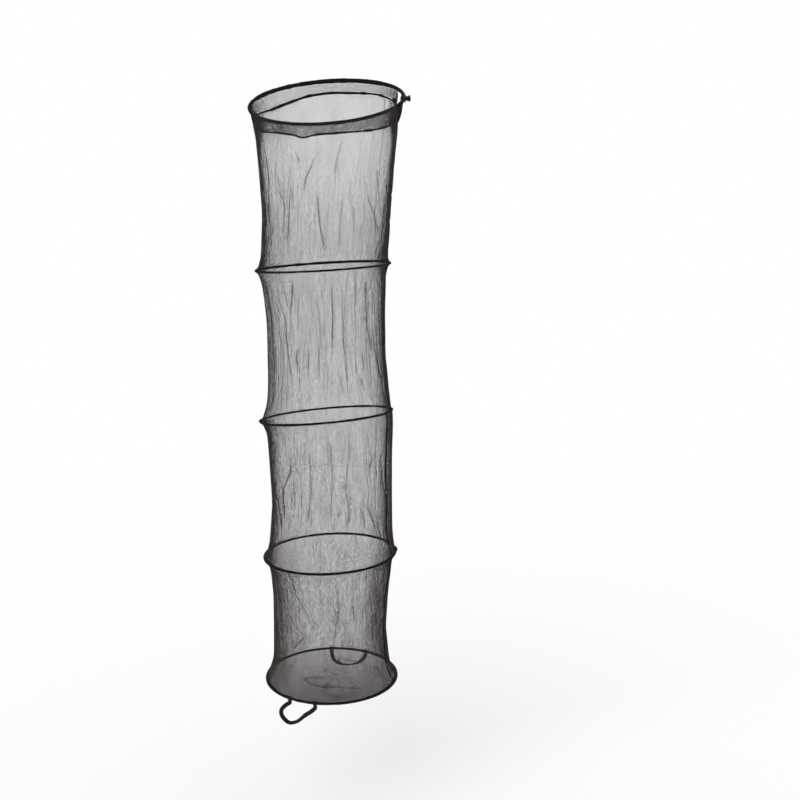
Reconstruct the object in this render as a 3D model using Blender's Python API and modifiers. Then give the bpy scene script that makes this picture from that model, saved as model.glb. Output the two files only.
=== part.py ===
"""Keep net: a tube of fine mesh on five hoops, hung from a bank stick by a stud on its mouth ring.

Metres, +Z up. The origin is the end face of the stud. +X is the way the stud points out of the
mouth ring, and -Y is the side that faces the viewer. Every hoop has a station: an empty at its
centre, tilted as the hoop hangs, and what the hoop carries is built round that station.
"""

import math

import bmesh
import bpy
import numpy as np
from mathutils import Euler, Matrix, Vector

# Hoops, measured to the middle of their rods
mouth_radius = 0.254
ring_radius = 0.225
mouth_rod_radius = 0.004
ring_rod_radius = 0.0025
base_rod_radius = 0.003
mouth_steps = 40
ring_steps = 36
mouth_sides = 8
ring_sides = 6

# How far each hoop hangs below the one above it, from centre to centre
bay_1_drop = 0.531
bay_2_drop = 0.503
bay_3_drop = 0.477
bay_4_drop = 0.434

# How far each lower hoop has swung from under the mouth ring's centre, across and back
ring_2_across = -0.0175
ring_2_back = 0.0128
ring_3_across = -0.0105
ring_3_back = 0.0142
ring_4_across = -0.0018
ring_4_back = -0.0092
base_across = 0.0009
base_back = -0.0178

# How each hoop tilts: its +X side up, and its near side down
mouth_tilt = math.radians(5.4)
ring_2_tilt = math.radians(3.9)
ring_2_nod = math.radians(0.7)
ring_3_tilt = math.radians(4.7)
ring_4_tilt = math.radians(1.55)
ring_4_nod = math.radians(1.5)
base_tilt = math.radians(-0.65)
base_nod = math.radians(-0.2)

# Gap between neighbours, the distance at which points merge, and the angle that stays smooth
clearance = 0.0003
merge_gap = 0.0001
smooth_angle = math.radians(50)

# Fabric: casings sewn round the rods, mesh between them
casing_wall = 0.001
mouth_sleeve_wall = 0.0014
slit_width = 0.001
mesh_thickness = 0.001
collar_thickness = 0.002
edge_inset = 0.0012

# The mouth: the sleeve and the mesh stop short of the connector
rod_end_gap = 0.008
bare_steps = 3
mouth_gap_depth = 0.021
collar_drop = 0.041
hem_height = 0.007
hem_thickness = 0.0026
collar_narrowing = 0.010
hem_tab_at = math.radians(-33)
hem_tab_width = 0.012
hem_tab_height = 0.016
hem_tab_thickness = 0.004

# Where the hem runs: degrees round the mouth ring, and the share of the collar's drop there
hem_depth_shares = (
    (10, 1.37), (48, 1.17), (73, 0.89), (98, 0.83), (107, 1.0), (113, 1.2), (121, 0.9), (138, 0.88),
    (160, 1.17), (180, 1.05), (197, 0.83), (224, 1.07), (241, 0.94), (254, 0.75), (271, 0.68),
    (286, 0.73), (308, 0.68), (324, 0.80), (350, 1.25),
)

# Connector on the mouth ring
block_length = 0.030
block_depth = 0.018
block_height = 0.018
block_round = 0.003
stud_radius = 0.00475
stud_root = 0.006
stud_reach = 0.024
stud_sides = 24
nut_gap = 0.0012
nut_barrel_radius = 0.0078
nut_flange_radius = 0.0108
nut_flange_width = 0.004
nut_edge = 0.0008
nut_end_to_stud_end = 0.0015
knurl_count = 12
knurl_radius = 0.0014
knurl_sides = 6
screw_radius = 0.0015
screw_head_radius = 0.0028
screw_head_height = 0.0018
screw_sides = 12
screw_spacing = 0.020
recess_depth = 0.0022

# The net's waist between hoops, on the -X side and on the +X side, and its main folds
bay_1_waists = (0.018, 0.014)
bay_2_waists = (0.028, 0.012)
bay_3_waists = (0.022, 0.006)
bay_4_waists = (0.025, 0.034)
bay_1_fold_depth = 0.008
bay_2_fold_depth = 0.011
bay_3_fold_depth = 0.011
bay_4_fold_depth = 0.013
bay_1_folds = 8
bay_2_folds = 8
bay_3_folds = 7
bay_4_folds = 6
fold_drift = math.radians(35)
around_steps = 48
pull_power = 5

# The net's rows as shares of the way down, and how much of each side's waist they are drawn in.
# Below zero the net bulges past the straight line from hoop to hoop.
row_shares = (0, 0.03, 0.12, 0.33, 0.62, 0.86, 0.97, 1)
bay_1_side_shares = ((0, -0.3, -0.1, 0.4, 1, 0.8, 0.6, 0), (0, -0.5, -0.85, -0.5, -0.15, 0, 0.4, 0))
bay_2_side_shares = ((0, 0.35, 0.65, 1, 1, 0.85, 0.35, 0), (0, 0.75, 0.6, 0.95, 1, 0.3, 0, 0))
bay_3_side_shares = ((0, 0.5, 0.65, 0.8, 1, 0.55, 0.4, 0), (0, -1, -1, 0, 0.65, 1, 0.3, 0))
bay_4_side_shares = ((0, 0.4, 0.75, 1, 0.95, 0.85, 0.3, 0), (0, 0.3, 0.4, 0.75, 1, 0.7, 0.5, 0))

# The round of mesh in the base hoop
base_sag = 0.010
base_row_shares = (0.25, 0.5, 0.75, 1)

# Webbing handles under the base hoop, at the angle of each loop's middle
webbing_width = 0.014
webbing_thickness = 0.0016
wrap_slack = 0.0004
tip_length = 0.0008
tip_share = 0.35
tab_thickness = 0.0044
near_handle_at = math.radians(243.5)
near_handle_half = math.radians(12)
near_handle_drop = 0.084
near_handle_twist = math.radians(62)
near_handle_shares = (
    (-1, 0), (-1, 0.10), (-1.27, 0.27), (-1.52, 0.52), (-1.42, 0.79), (-0.92, 0.99),
    (-0.32, 0.86), (0.22, 0.52), (0.50, 0.41),
)
near_tab_shares = ((1, 0), (1, 0.09), (0.87, 0.20), (0.57, 0.37))
far_handle_at = math.radians(73)
far_handle_half = math.radians(17)
far_handle_drop = 0.050
far_handle_twist = math.radians(76)
far_handle_shares = (
    (-1, 0), (-1, 0.16), (-0.90, 0.37), (-0.67, 0.66), (-0.32, 0.90), (0.08, 1.0),
    (0.45, 0.98), (0.78, 0.82),
)
far_tab_shares = ((1, 0), (1, 0.16), (0.98, 0.36), (0.86, 0.76))
strap_steps = 20
tab_steps = 6


# Tools for building

def clear_scene():
    for thing in list(bpy.data.objects):
        bpy.data.objects.remove(thing, do_unlink=True)


def collection(name):
    made = bpy.data.collections.new(name)
    bpy.context.scene.collection.children.link(made)
    return made


def finish(name, colour, roughness, metallic=0.0):
    """A plain Principled material."""
    made = bpy.data.materials.new(name)
    made.use_nodes = True
    shader = made.node_tree.nodes["Principled BSDF"]
    shader.inputs["Base Color"].default_value = (*colour, 1)
    shader.inputs["Roughness"].default_value = roughness
    shader.inputs["Metallic"].default_value = metallic
    return made


def place(name, mesh, group, material, parent=None):
    made = bpy.data.objects.new(name, mesh)
    made.data.materials.append(material)
    group.objects.link(made)
    made.parent = parent
    return made


def mesh_from(bm, name, smooth=True):
    bmesh.ops.recalc_face_normals(bm, faces=bm.faces)
    mesh = bpy.data.meshes.new(name)
    bm.to_mesh(mesh)
    bm.free()
    if smooth:
        mesh.shade_smooth()
        mesh.set_sharp_from_angle(angle=smooth_angle)
    return mesh


def apply_modifiers(thing):
    """Turns an object's evaluated shape into its own mesh."""
    seen = thing.evaluated_get(bpy.context.evaluated_depsgraph_get())
    thing.data = bpy.data.meshes.new_from_object(seen)
    thing.modifiers.clear()


def cut(thing, cutters):
    for cutter in cutters:
        boolean = thing.modifiers.new("cut", "BOOLEAN")
        boolean.operation = "DIFFERENCE"
        boolean.object = cutter


def as_cutter(name, mesh, group, parent=None):
    made = bpy.data.objects.new(name, mesh)
    group.objects.link(made)
    made.parent = parent
    made.hide_render = True
    made.display_type = "WIRE"
    return made


# Sections of rods and casings: regular polygons with a flat at the top and at the bottom

def flat_radius(angle, sides, apothem):
    """How far a polygon's edge is from its middle at an angle."""
    sector = math.tau / sides
    into = (angle - math.pi / 2 + sector / 2) % sector - sector / 2
    return apothem / math.cos(into)


def corner_angles(sides):
    first = math.pi / 2 + math.pi / sides
    return [first - corner * math.tau / sides for corner in range(sides)]


def rod_section(sides, apothem):
    """Corners of a rod, clockwise, as (out, up)."""
    return [
        (flat_radius(a, sides, apothem) * math.cos(a), flat_radius(a, sides, apothem) * math.sin(a))
        for a in corner_angles(sides)
    ]


def casing_section(sides, inner, outer):
    """A casing with a slit on its side towards the hoop's middle, clockwise, as (out, up)."""
    lip = slit_width / (inner + outer)
    angles = [math.pi - lip]
    angles += sorted(
        (a for a in ((c + math.pi) % math.tau - math.pi for c in corner_angles(sides))
         if abs(abs(a) - math.pi) > lip),
        reverse=True,
    )
    angles.append(lip - math.pi)
    outside = [(flat_radius(a, sides, outer), a) for a in angles]
    inside = [(flat_radius(a, sides, inner), a) for a in reversed(angles)]
    return [(r * math.cos(a), r * math.sin(a)) for r, a in outside + inside]


def hoop(name, section, radius, steps, group, material, parent):
    """A section turned all the way round the hoop's axis."""
    bm = bmesh.new()
    corners = [bm.verts.new((radius + out, 0, up)) for out, up in section]
    for first, second in zip(corners, corners[1:] + corners[:1]):
        bm.edges.new((first, second))
    mesh = bpy.data.meshes.new(name)
    bm.to_mesh(mesh)
    bm.free()
    made = place(name, mesh, group, material, parent)
    turned = made.modifiers.new("turned", "SCREW")
    turned.steps = steps
    turned.render_steps = steps
    turned.use_merge_vertices = True
    turned.merge_threshold = merge_gap
    apply_modifiers(made)
    return made


def arc(section, radius, start, turn, steps):
    """A section turned part of the way round, with both ends closed."""
    bm = bmesh.new()
    spot = Matrix.Rotation(start, 3, "Z")
    corners = [bm.verts.new(spot @ Vector((radius + out, 0, up))) for out, up in section]
    face = bm.faces.new(corners)
    bmesh.ops.spin(
        bm, geom=[face], cent=(0, 0, 0), axis=(0, 0, 1), dvec=(0, 0, 0),
        angle=turn, steps=steps, use_merge=False, use_duplicate=False,
    )
    return bm


# Lofts for the soft parts

def tube_shell(name, rows, thickness, group, material):
    """A closed thin wall through rings of points, open at the top and the bottom."""
    bm = bmesh.new()
    lines = [[bm.verts.new(point) for point in row] for row in rows]
    for upper, lower in zip(lines, lines[1:]):
        for step in range(len(upper)):
            after = (step + 1) % len(upper)
            bm.faces.new((upper[step], lower[step], lower[after], upper[after]))
    made = place(name, mesh_from(bm, name), group, material)
    wall = made.modifiers.new("wall", "SOLIDIFY")
    wall.thickness = thickness
    wall.offset = 0
    return made


def smooth_route(points, steps):
    """Points spaced along a smooth curve through the given ones."""
    ends = [points[0] * 2 - points[1], *points, points[-1] * 2 - points[-2]]
    spans = len(points) - 1
    route = []
    for step in range(steps + 1):
        along = spans * step / steps
        span = min(int(along), spans - 1)
        t = along - span
        a, b, c, d = ends[span:span + 4]
        route.append(
            (b * 2 + (c - a) * t + (a * 2 - b * 5 + c * 4 - d) * t ** 2
             + (b * 3 - a - c * 3 + d) * t ** 3) / 2
        )
    return route


def webbing(name, route, across, twist, widths, thicknesses, group, material, parent):
    """A flat strap along a route. Its first two rings lie square to the wrap that it swings under."""
    bm = bmesh.new()
    rings = []
    last = len(route) - 1
    for step, point in enumerate(route):
        before = route[max(step - 1, 0)]
        after = point if step == 1 else route[min(step + 1, last)]
        along = (after - before).normalized()
        sideways = along.cross(across).normalized()
        turn = twist[step]
        wide = sideways * math.cos(turn) + across * math.sin(turn)
        thick = along.cross(wide).normalized()
        half_wide = widths[step] / 2
        half_thick = thicknesses[step] / 2
        edge = half_wide - webbing_thickness / 2
        rings.append([
            bm.verts.new(point + wide * w + thick * h)
            for w, h in (
                (half_wide, 0), (edge, half_thick), (-edge, half_thick),
                (-half_wide, 0), (-edge, -half_thick), (edge, -half_thick),
            )
        ])
    bm.faces.new(rings[0])
    bm.faces.new(rings[-1])
    for near, far in zip(rings, rings[1:]):
        for corner in range(len(near)):
            after = (corner + 1) % len(near)
            bm.faces.new((near[corner], near[after], far[after], far[corner]))
    return place(name, mesh_from(bm, name), group, material, parent)


# Stations: where each hoop hangs

mouth_reach = mouth_radius + stud_reach
drops = (bay_1_drop, bay_2_drop, bay_3_drop, bay_4_drop)
swung = (
    (ring_2_across, ring_2_back), (ring_3_across, ring_3_back),
    (ring_4_across, ring_4_back), (base_across, base_back),
)
tilts = ((ring_2_tilt, ring_2_nod), (ring_3_tilt, 0), (ring_4_tilt, ring_4_nod), (base_tilt, base_nod))
station_names = ("mouth", "ring_2", "ring_3", "ring_4", "base")


def make_stations(group):
    """Empties at the hoops' centres, from the mouth ring down."""
    centre = Vector((-mouth_reach * math.cos(mouth_tilt), 0, -mouth_reach * math.sin(mouth_tilt)))
    places = [(centre, mouth_tilt, 0)]
    for index, ((across, back), (tilt, nod)) in enumerate(zip(swung, tilts)):
        down = sum(drops[:index + 1])
        places.append((centre + Vector((across, back, -down)), tilt, nod))
    made = {}
    for name, (at, tilt, nod) in zip(station_names, places):
        empty = bpy.data.objects.new(name + "_station", None)
        empty.location = at
        empty.rotation_euler = Euler((nod, -tilt, 0))
        empty.empty_display_size = ring_radius
        group.objects.link(empty)
        made[name] = empty
    bpy.context.view_layer.update()
    return made


clear_scene()
net = collection("keep_net")
cutters = collection("cutters")
stations = make_stations(net)
frames = {name: empty.matrix_world.copy() for name, empty in stations.items()}

coated_steel = finish("plastic-coated steel", (0.012, 0.012, 0.013), 0.35)
casing_cloth = finish("woven nylon casing", (0.012, 0.011, 0.012), 0.8)
netting = finish("knotless nylon netting", (0.05, 0.045, 0.045), 0.7)
hem_tape = finish("nylon binding tape", (0.015, 0.013, 0.014), 0.75)
moulded_nylon = finish("moulded nylon", (0.015, 0.015, 0.016), 0.5)
black_brass = finish("blackened brass", (0.03, 0.028, 0.025), 0.35, 1)
screw_steel = finish("zinc-plated steel", (0.35, 0.35, 0.36), 0.35, 1)
black_webbing = finish("polypropylene webbing", (0.012, 0.012, 0.012), 0.8)


# Mouth ring: a coated rod whose two ends go into the connector block

rod_end_angle = rod_end_gap / 2 / mouth_radius
mouth_step = (math.tau - 2 * rod_end_angle) / mouth_steps
mouth_rod = rod_section(mouth_sides, mouth_rod_radius)
mouth_arc = arc(mouth_rod, mouth_radius, rod_end_angle, math.tau - 2 * rod_end_angle, mouth_steps)
place("mouth_ring", mesh_from(mouth_arc, "mouth_ring"), net, coated_steel, stations["mouth"])

sleeve_inner = mouth_rod_radius + clearance
sleeve_outer = sleeve_inner + mouth_sleeve_wall
sleeve_start = rod_end_angle + bare_steps * mouth_step
place(
    "mouth_sleeve",
    mesh_from(
        arc(
            casing_section(mouth_sides, sleeve_inner, sleeve_outer), mouth_radius,
            sleeve_start, math.tau - 2 * sleeve_start, mouth_steps - 2 * bare_steps,
        ),
        "mouth_sleeve",
    ),
    net, casing_cloth, stations["mouth"],
)


# Lower hoops: a rod in a sewn casing

rods = (ring_rod_radius, ring_rod_radius, ring_rod_radius, base_rod_radius)
casing_outers = {}
for station, rod in zip(station_names[1:], rods):
    title = station + "_ring" if station == "base" else station
    inner = rod + clearance
    outer = inner + casing_wall
    casing_outers[station] = outer
    hoop(title, rod_section(ring_sides, rod), ring_radius, ring_steps, net, coated_steel, stations[station])
    hoop(
        station + "_casing", casing_section(ring_sides, inner, outer), ring_radius, ring_steps,
        net, casing_cloth, stations[station],
    )
casing_outers["mouth"] = sleeve_outer

# The handles' wraps go round the base casing, so its net starts on top of them
casing_droop = ring_radius * (1 - math.cos(math.pi / ring_steps))
wrap_inner = casing_outers["base"] + casing_droop / 2 + wrap_slack
wrap_outer = wrap_inner + webbing_thickness
wrap_radius = ring_radius - casing_droop / 2
edge_heights = {**casing_outers, "base": wrap_outer}


# Mouth collar and its hem: they follow the ring, and cut the corner at the connector

def mouth_edge_radius(angle):
    """Radius of the mesh under the mouth ring, drawn in where the sleeve is interrupted."""
    off = abs((angle + math.pi) % math.tau - math.pi)
    drawn = max(0, 1 - (off / sleeve_start) ** 2)
    return mouth_radius - edge_inset - mouth_gap_depth * drawn


def mouth_net_point(angle, depth):
    radius = mouth_edge_radius(angle) - collar_narrowing * depth / collar_drop
    return frames["mouth"] @ Vector((radius * math.cos(angle), radius * math.sin(angle), -depth))


def hem_depth(angle):
    """How far under the mouth ring the hem's upper edge runs."""
    degrees, shares = zip(*hem_depth_shares)
    return collar_drop * float(np.interp(math.degrees(angle), degrees, shares, period=360))


angles = [math.tau * step / around_steps for step in range(around_steps)]
collar_top = sleeve_outer + clearance
collar_shares = (0, 0.5, 1)
tube_shell(
    "mouth_collar",
    [
        [mouth_net_point(a, collar_top + (hem_depth(a) - collar_top) * share) for a in angles]
        for share in collar_shares
    ],
    collar_thickness, net, netting,
)

hem_top = 2 * clearance
tube_shell(
    "collar_hem",
    [[mouth_net_point(a, hem_depth(a) + hem_top + hem_height * share) for a in angles] for share in (0, 1)],
    hem_thickness, net, hem_tape,
)

hem_tab_out = hem_thickness / 2 + clearance + hem_tab_thickness / 2
hem_middle = hem_depth(hem_tab_at) + hem_top + hem_height / 2
bm = bmesh.new()
bmesh.ops.create_cube(bm, size=1)
bmesh.ops.scale(bm, vec=(hem_tab_thickness, hem_tab_width, hem_tab_height), verts=bm.verts)
tab = place("hem_end_tab", mesh_from(bm, "hem_end_tab", smooth=False), net, hem_tape, stations["mouth"])
tab_radius = (
    mouth_edge_radius(hem_tab_at) - collar_narrowing * hem_middle / collar_drop + hem_tab_out
    + edge_inset
)
tab.location = (tab_radius * math.cos(hem_tab_at), tab_radius * math.sin(hem_tab_at), -hem_middle)
tab.rotation_euler = (0, 0, hem_tab_at)
rounded = tab.modifiers.new("rounded", "BEVEL")
rounded.width = hem_tab_thickness / 4
rounded.segments = 1


# Bays of netting: tubes that hang in folds from hoop to hoop

def ring_edge(station, below):
    """The net's edge at a hoop, just under its casing or just on top of it."""
    off = edge_heights[station] + clearance + clearance
    height = -off if below else off
    radius = ring_radius - edge_inset

    def edge(angle):
        return frames[station] @ Vector((radius * math.cos(angle), radius * math.sin(angle), height))

    return edge


def hem_edge(angle):
    return mouth_net_point(angle, hem_depth(angle) + hem_top + hem_height + hem_top)


def bay(name, upper, lower, waists, side_shares, fold_depth, folds, phase):
    """A tube of netting, drawn in row by row on both sides and hung in folds."""
    rows = []
    for share, left_share, right_share in zip(row_shares, *side_shares):
        left, right = waists[0] * left_share, waists[1] * right_share
        pull = 1 - abs(2 * share - 1) ** pull_power
        row = []
        for angle in angles:
            outward = Vector((math.cos(angle), math.sin(angle), 0))
            side_share = (1 + math.cos(angle)) / 2
            waist = left + (right - left) * side_share
            wave = (1 + math.cos(folds * angle + phase + fold_drift * share)) / 2
            point = upper(angle).lerp(lower(angle), share)
            row.append(point - outward * (waist + fold_depth * pull * wave))
        rows.append(row)
    return tube_shell(name, rows, mesh_thickness, net, netting)


bay(
    "bay_1_net", hem_edge, ring_edge("ring_2", False),
    bay_1_waists, bay_1_side_shares, bay_1_fold_depth, bay_1_folds, 0,
)
bay(
    "bay_2_net", ring_edge("ring_2", True), ring_edge("ring_3", False),
    bay_2_waists, bay_2_side_shares, bay_2_fold_depth, bay_2_folds, math.radians(50),
)
bay(
    "bay_3_net", ring_edge("ring_3", True), ring_edge("ring_4", False),
    bay_3_waists, bay_3_side_shares, bay_3_fold_depth, bay_3_folds, math.radians(110),
)
bay(
    "bay_4_net", ring_edge("ring_4", True), ring_edge("base", False),
    bay_4_waists, bay_4_side_shares, bay_4_fold_depth, bay_4_folds, math.radians(200),
)


# Base net: a round of mesh that sags inside the base casing and clears the handles' wraps

base_net_radius = wrap_radius - wrap_outer / math.cos(math.pi / ring_sides) - clearance
bm = bmesh.new()
middle = bm.verts.new((0, 0, -base_sag))
steps = [math.tau * step / ring_steps for step in range(ring_steps)]
circles = [
    [
        bm.verts.new((
            base_net_radius * share * math.cos(a), base_net_radius * share * math.sin(a),
            -base_sag * (1 - share ** 2),
        ))
        for a in steps
    ]
    for share in base_row_shares
]
for step in range(ring_steps):
    after = (step + 1) % ring_steps
    bm.faces.new((middle, circles[0][step], circles[0][after]))
    for inner_circle, outer_circle in zip(circles, circles[1:]):
        bm.faces.new((inner_circle[step], outer_circle[step], outer_circle[after], inner_circle[after]))
round_net = place("base_net", mesh_from(bm, "base_net"), net, netting, stations["base"])
wall = round_net.modifiers.new("wall", "SOLIDIFY")
wall.thickness = mesh_thickness
wall.offset = 0


# Handles: webbing loops that swing under wraps folded round the base casing

wrap_turn = webbing_width / ring_radius
hinge_depth = wrap_outer + clearance + tip_length


def wraps(name, middle_angle, half):
    """Webbing folded round the base casing at both ends of a handle."""
    section = casing_section(ring_sides, wrap_inner, wrap_outer)
    for number, at in enumerate((middle_angle - half, middle_angle + half), 1):
        title = f"{name}_{number}"
        piece = arc(section, wrap_radius, at - wrap_turn / 2, wrap_turn, 2)
        place(title, mesh_from(piece, title), net, black_webbing, stations["base"])


def handle(name, middle_angle, half, drop, twist, strap_shares, tab_shares):
    """A strap and its doubled end, hung from a hinge line at the chord between the wraps."""
    outward = Vector((math.cos(middle_angle), math.sin(middle_angle), 0))
    chordwise = Vector((-math.sin(middle_angle), math.cos(middle_angle), 0))
    down = Vector((0, 0, -1))
    half_chord = wrap_radius * math.sin(half)
    pivot = bpy.data.objects.new(name + "_hinge", None)
    pivot.location = outward * wrap_radius * math.cos(half) + down * hinge_depth
    pivot.parent = stations["base"]
    net.objects.link(pivot)

    def route(shares, steps):
        chosen = [chordwise * half_chord * t + down * drop * d for t, d in shares]
        return smooth_route(chosen, steps)

    strap = route(strap_shares, strap_steps)
    top = down * -tip_length
    strap = [strap[0] + top, strap[0]] + strap[1:]
    count = len(strap)
    webbing(
        name, strap, outward,
        [twist * math.sin(math.pi * max(step - 1, 0) / (count - 2)) ** 2 for step in range(count)],
        [webbing_width] * count,
        [webbing_thickness * (tip_share if step == 0 else 1) for step in range(count)],
        net, black_webbing, pivot,
    )
    sewn = route(tab_shares, tab_steps)
    sewn = [sewn[0] + top, sewn[0]] + sewn[1:]
    count = len(sewn)
    swell = tab_thickness - webbing_thickness
    webbing(
        name + "_tab", sewn, outward, [0] * count,
        [webbing_width] * count,
        [webbing_thickness * tip_share]
        + [webbing_thickness + swell * min(1, 2 * step / (count - 2)) for step in range(count - 1)],
        net, black_webbing, pivot,
    )
    return pivot


wraps("near_handle_wrap", near_handle_at, near_handle_half)
wraps("far_handle_wrap", far_handle_at, far_handle_half)
handle(
    "near_handle", near_handle_at, near_handle_half, near_handle_drop, near_handle_twist,
    near_handle_shares, near_tab_shares,
)
handle(
    "far_handle", far_handle_at, far_handle_half, far_handle_drop, far_handle_twist,
    far_handle_shares, far_tab_shares,
)


# Connector block: a moulding on the mouth ring's ends, bored for the rod, the stud and two screws

def cylinder(radius, length, sides):
    """A cylinder along +X from the origin."""
    bm = bmesh.new()
    bmesh.ops.create_cone(
        bm, cap_ends=True, cap_tris=False, segments=sides, radius1=radius, radius2=radius, depth=length,
    )
    bmesh.ops.rotate(bm, cent=(0, 0, 0), matrix=Matrix.Rotation(math.radians(90), 3, "Y"), verts=bm.verts)
    bmesh.ops.translate(bm, vec=(length / 2, 0, 0), verts=bm.verts)
    return bm


bm = bmesh.new()
bmesh.ops.create_cube(bm, size=1)
bmesh.ops.scale(bm, vec=(block_depth, block_length, block_height), verts=bm.verts)
block_mesh = mesh_from(bm, "connector_block", smooth=False)
block = place("connector_block", block_mesh, net, moulded_nylon, stations["mouth"])
block.location = (mouth_radius, 0, 0)
rounded = block.modifiers.new("rounded", "BEVEL")
rounded.width = block_round
rounded.segments = 2
rounded.limit_method = "ANGLE"

rod_ends = (rod_end_angle - clearance / mouth_radius, clearance / mouth_radius - rod_end_angle - mouth_step)
rod_bores = [
    as_cutter(
        "rod_bore",
        mesh_from(
            arc(rod_section(mouth_sides, mouth_rod_radius + clearance), mouth_radius, start, mouth_step, 1),
            "rod_bore",
        ),
        cutters, stations["mouth"],
    )
    for start in rod_ends
]

stud_start = mouth_radius + stud_root
stud_bore = as_cutter(
    "stud_bore",
    mesh_from(cylinder(stud_radius + clearance, stud_reach, stud_sides), "stud_bore"),
    cutters, stations["mouth"],
)
stud_bore.location = (stud_start - clearance, 0, 0)


# Screws: one on each end of the rod, let into the block from above

def screw_outline(gap, top):
    """Head and shank from the axis out and down, as (radius, height)."""
    seat = block_height / 2 - recess_depth - gap
    foot = mouth_rod_radius + clearance - gap
    return (
        (0, top), (screw_head_radius + gap, top), (screw_head_radius + gap, seat),
        (screw_radius + gap, seat), (screw_radius + gap, foot), (0, foot),
    )


def turned_mesh(name, outline, steps, closed):
    """An outline turned about Z. It runs down its outer side."""
    bm = bmesh.new()
    corners = [bm.verts.new((radius, 0, up)) for radius, up in outline]
    ends = corners[1:] + corners[:1] if closed else corners[1:]
    for first, second in zip(corners, ends):
        bm.edges.new((first, second))
    mesh = bpy.data.meshes.new(name)
    bm.to_mesh(mesh)
    bm.free()
    blank = bpy.data.objects.new(name, mesh)
    cutters.objects.link(blank)
    turned = blank.modifiers.new("turned", "SCREW")
    turned.steps = steps
    turned.render_steps = steps
    turned.use_merge_vertices = True
    turned.merge_threshold = merge_gap
    apply_modifiers(blank)
    made = blank.data
    bpy.data.objects.remove(blank)
    return made


screw_top = block_height / 2 - recess_depth + screw_head_height
screw_bores = []
for number, side in enumerate((-1, 1), 1):
    title = f"rod_end_screw_{number}"
    screw_mesh = turned_mesh(title, screw_outline(0, screw_top), screw_sides, False)
    screw = place(title, screw_mesh, net, screw_steel, stations["mouth"])
    screw.location = (mouth_radius, side * screw_spacing / 2, 0)
    bore_mesh = turned_mesh("screw_bore", screw_outline(clearance, block_height), screw_sides, False)
    bore = as_cutter("screw_bore", bore_mesh, cutters, stations["mouth"])
    bore.location = screw.location
    screw_bores.append(bore)
cut(block, [*rod_bores, stud_bore, *screw_bores])


# Stud and lock nut: the nut turns on the stud and jams against the bank stick

stud = place(
    "bank_stick_stud",
    mesh_from(cylinder(stud_radius, stud_reach - stud_root, stud_sides), "bank_stick_stud"),
    net, black_brass, stations["mouth"],
)
stud.location = (stud_start, 0, 0)

nut_start = block_depth / 2 + nut_gap
nut_end = stud_reach - nut_end_to_stud_end
nut_bore = (stud_radius + clearance) / math.cos(math.pi / stud_sides)
flange_start = nut_end - nut_flange_width
neck_width = nut_flange_radius - nut_barrel_radius
nut_outline = (
    (nut_bore, nut_end), (nut_flange_radius - nut_edge, nut_end), (nut_flange_radius, nut_end - nut_edge),
    (nut_flange_radius, flange_start), (nut_barrel_radius, flange_start - neck_width / 2),
    (nut_barrel_radius, nut_start + nut_edge), (nut_barrel_radius - nut_edge, nut_start),
    (nut_bore, nut_start),
)
nut_mesh = turned_mesh("lock_nut", nut_outline, stud_sides, True)
nut = place("lock_nut", nut_mesh, net, moulded_nylon, stations["mouth"])
nut.rotation_euler = (0, math.radians(90), 0)
nut.location = (mouth_radius, 0, 0)
grooves = bmesh.new()
for groove in range(knurl_count):
    made = bmesh.ops.create_cone(
        grooves, cap_ends=True, segments=knurl_sides,
        radius1=knurl_radius, radius2=knurl_radius, depth=stud_reach,
    )
    turn = Matrix.Rotation(math.tau * (groove + 0.5) / knurl_count, 4, "Z")
    bmesh.ops.transform(
        grooves, matrix=turn @ Matrix.Translation((nut_flange_radius + knurl_radius / 2, 0, nut_end)),
        verts=made["verts"],
    )
cut(nut, [as_cutter("knurl_cutter", mesh_from(grooves, "knurl_cutter"), cutters, stations["mouth"])])
bpy.data.objects["knurl_cutter"].rotation_euler = nut.rotation_euler
bpy.data.objects["knurl_cutter"].location = nut.location
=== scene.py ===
import math

import bmesh
import bpy
import numpy as np
from mathutils import Euler, Matrix, Vector


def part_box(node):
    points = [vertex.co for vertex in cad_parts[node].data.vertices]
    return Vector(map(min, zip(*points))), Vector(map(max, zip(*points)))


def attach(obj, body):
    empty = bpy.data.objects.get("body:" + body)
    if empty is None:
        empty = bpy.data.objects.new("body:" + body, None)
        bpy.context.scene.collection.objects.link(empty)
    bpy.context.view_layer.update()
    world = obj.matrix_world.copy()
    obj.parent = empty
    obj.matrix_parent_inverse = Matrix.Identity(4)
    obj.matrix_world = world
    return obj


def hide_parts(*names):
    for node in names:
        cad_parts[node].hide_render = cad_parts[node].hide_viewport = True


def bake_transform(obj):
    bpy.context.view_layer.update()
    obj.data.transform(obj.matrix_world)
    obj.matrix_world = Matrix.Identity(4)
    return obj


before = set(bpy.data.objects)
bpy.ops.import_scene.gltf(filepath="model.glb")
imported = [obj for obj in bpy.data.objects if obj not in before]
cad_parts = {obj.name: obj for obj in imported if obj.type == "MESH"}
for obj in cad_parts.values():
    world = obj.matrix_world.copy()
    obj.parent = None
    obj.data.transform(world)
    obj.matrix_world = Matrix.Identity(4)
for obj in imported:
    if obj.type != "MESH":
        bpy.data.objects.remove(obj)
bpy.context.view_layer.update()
bpy.ops.object.select_all(action="DESELECT")


# Studio: the net hangs clear of a white floor in soft light from all round, with one broad lamp
# up on the left. The camera stands just below the second hoop, 2.7 m away, tipped down a little.

def linear(hex_colour):
    """An sRGB hex colour as linear RGBA."""
    parts = [int(hex_colour[at:at + 2], 16) / 255 for at in (1, 3, 5)]
    return (*(p / 12.92 if p <= 0.04045 else ((p + 0.055) / 1.055) ** 2.4 for p in parts), 1.0)


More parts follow.
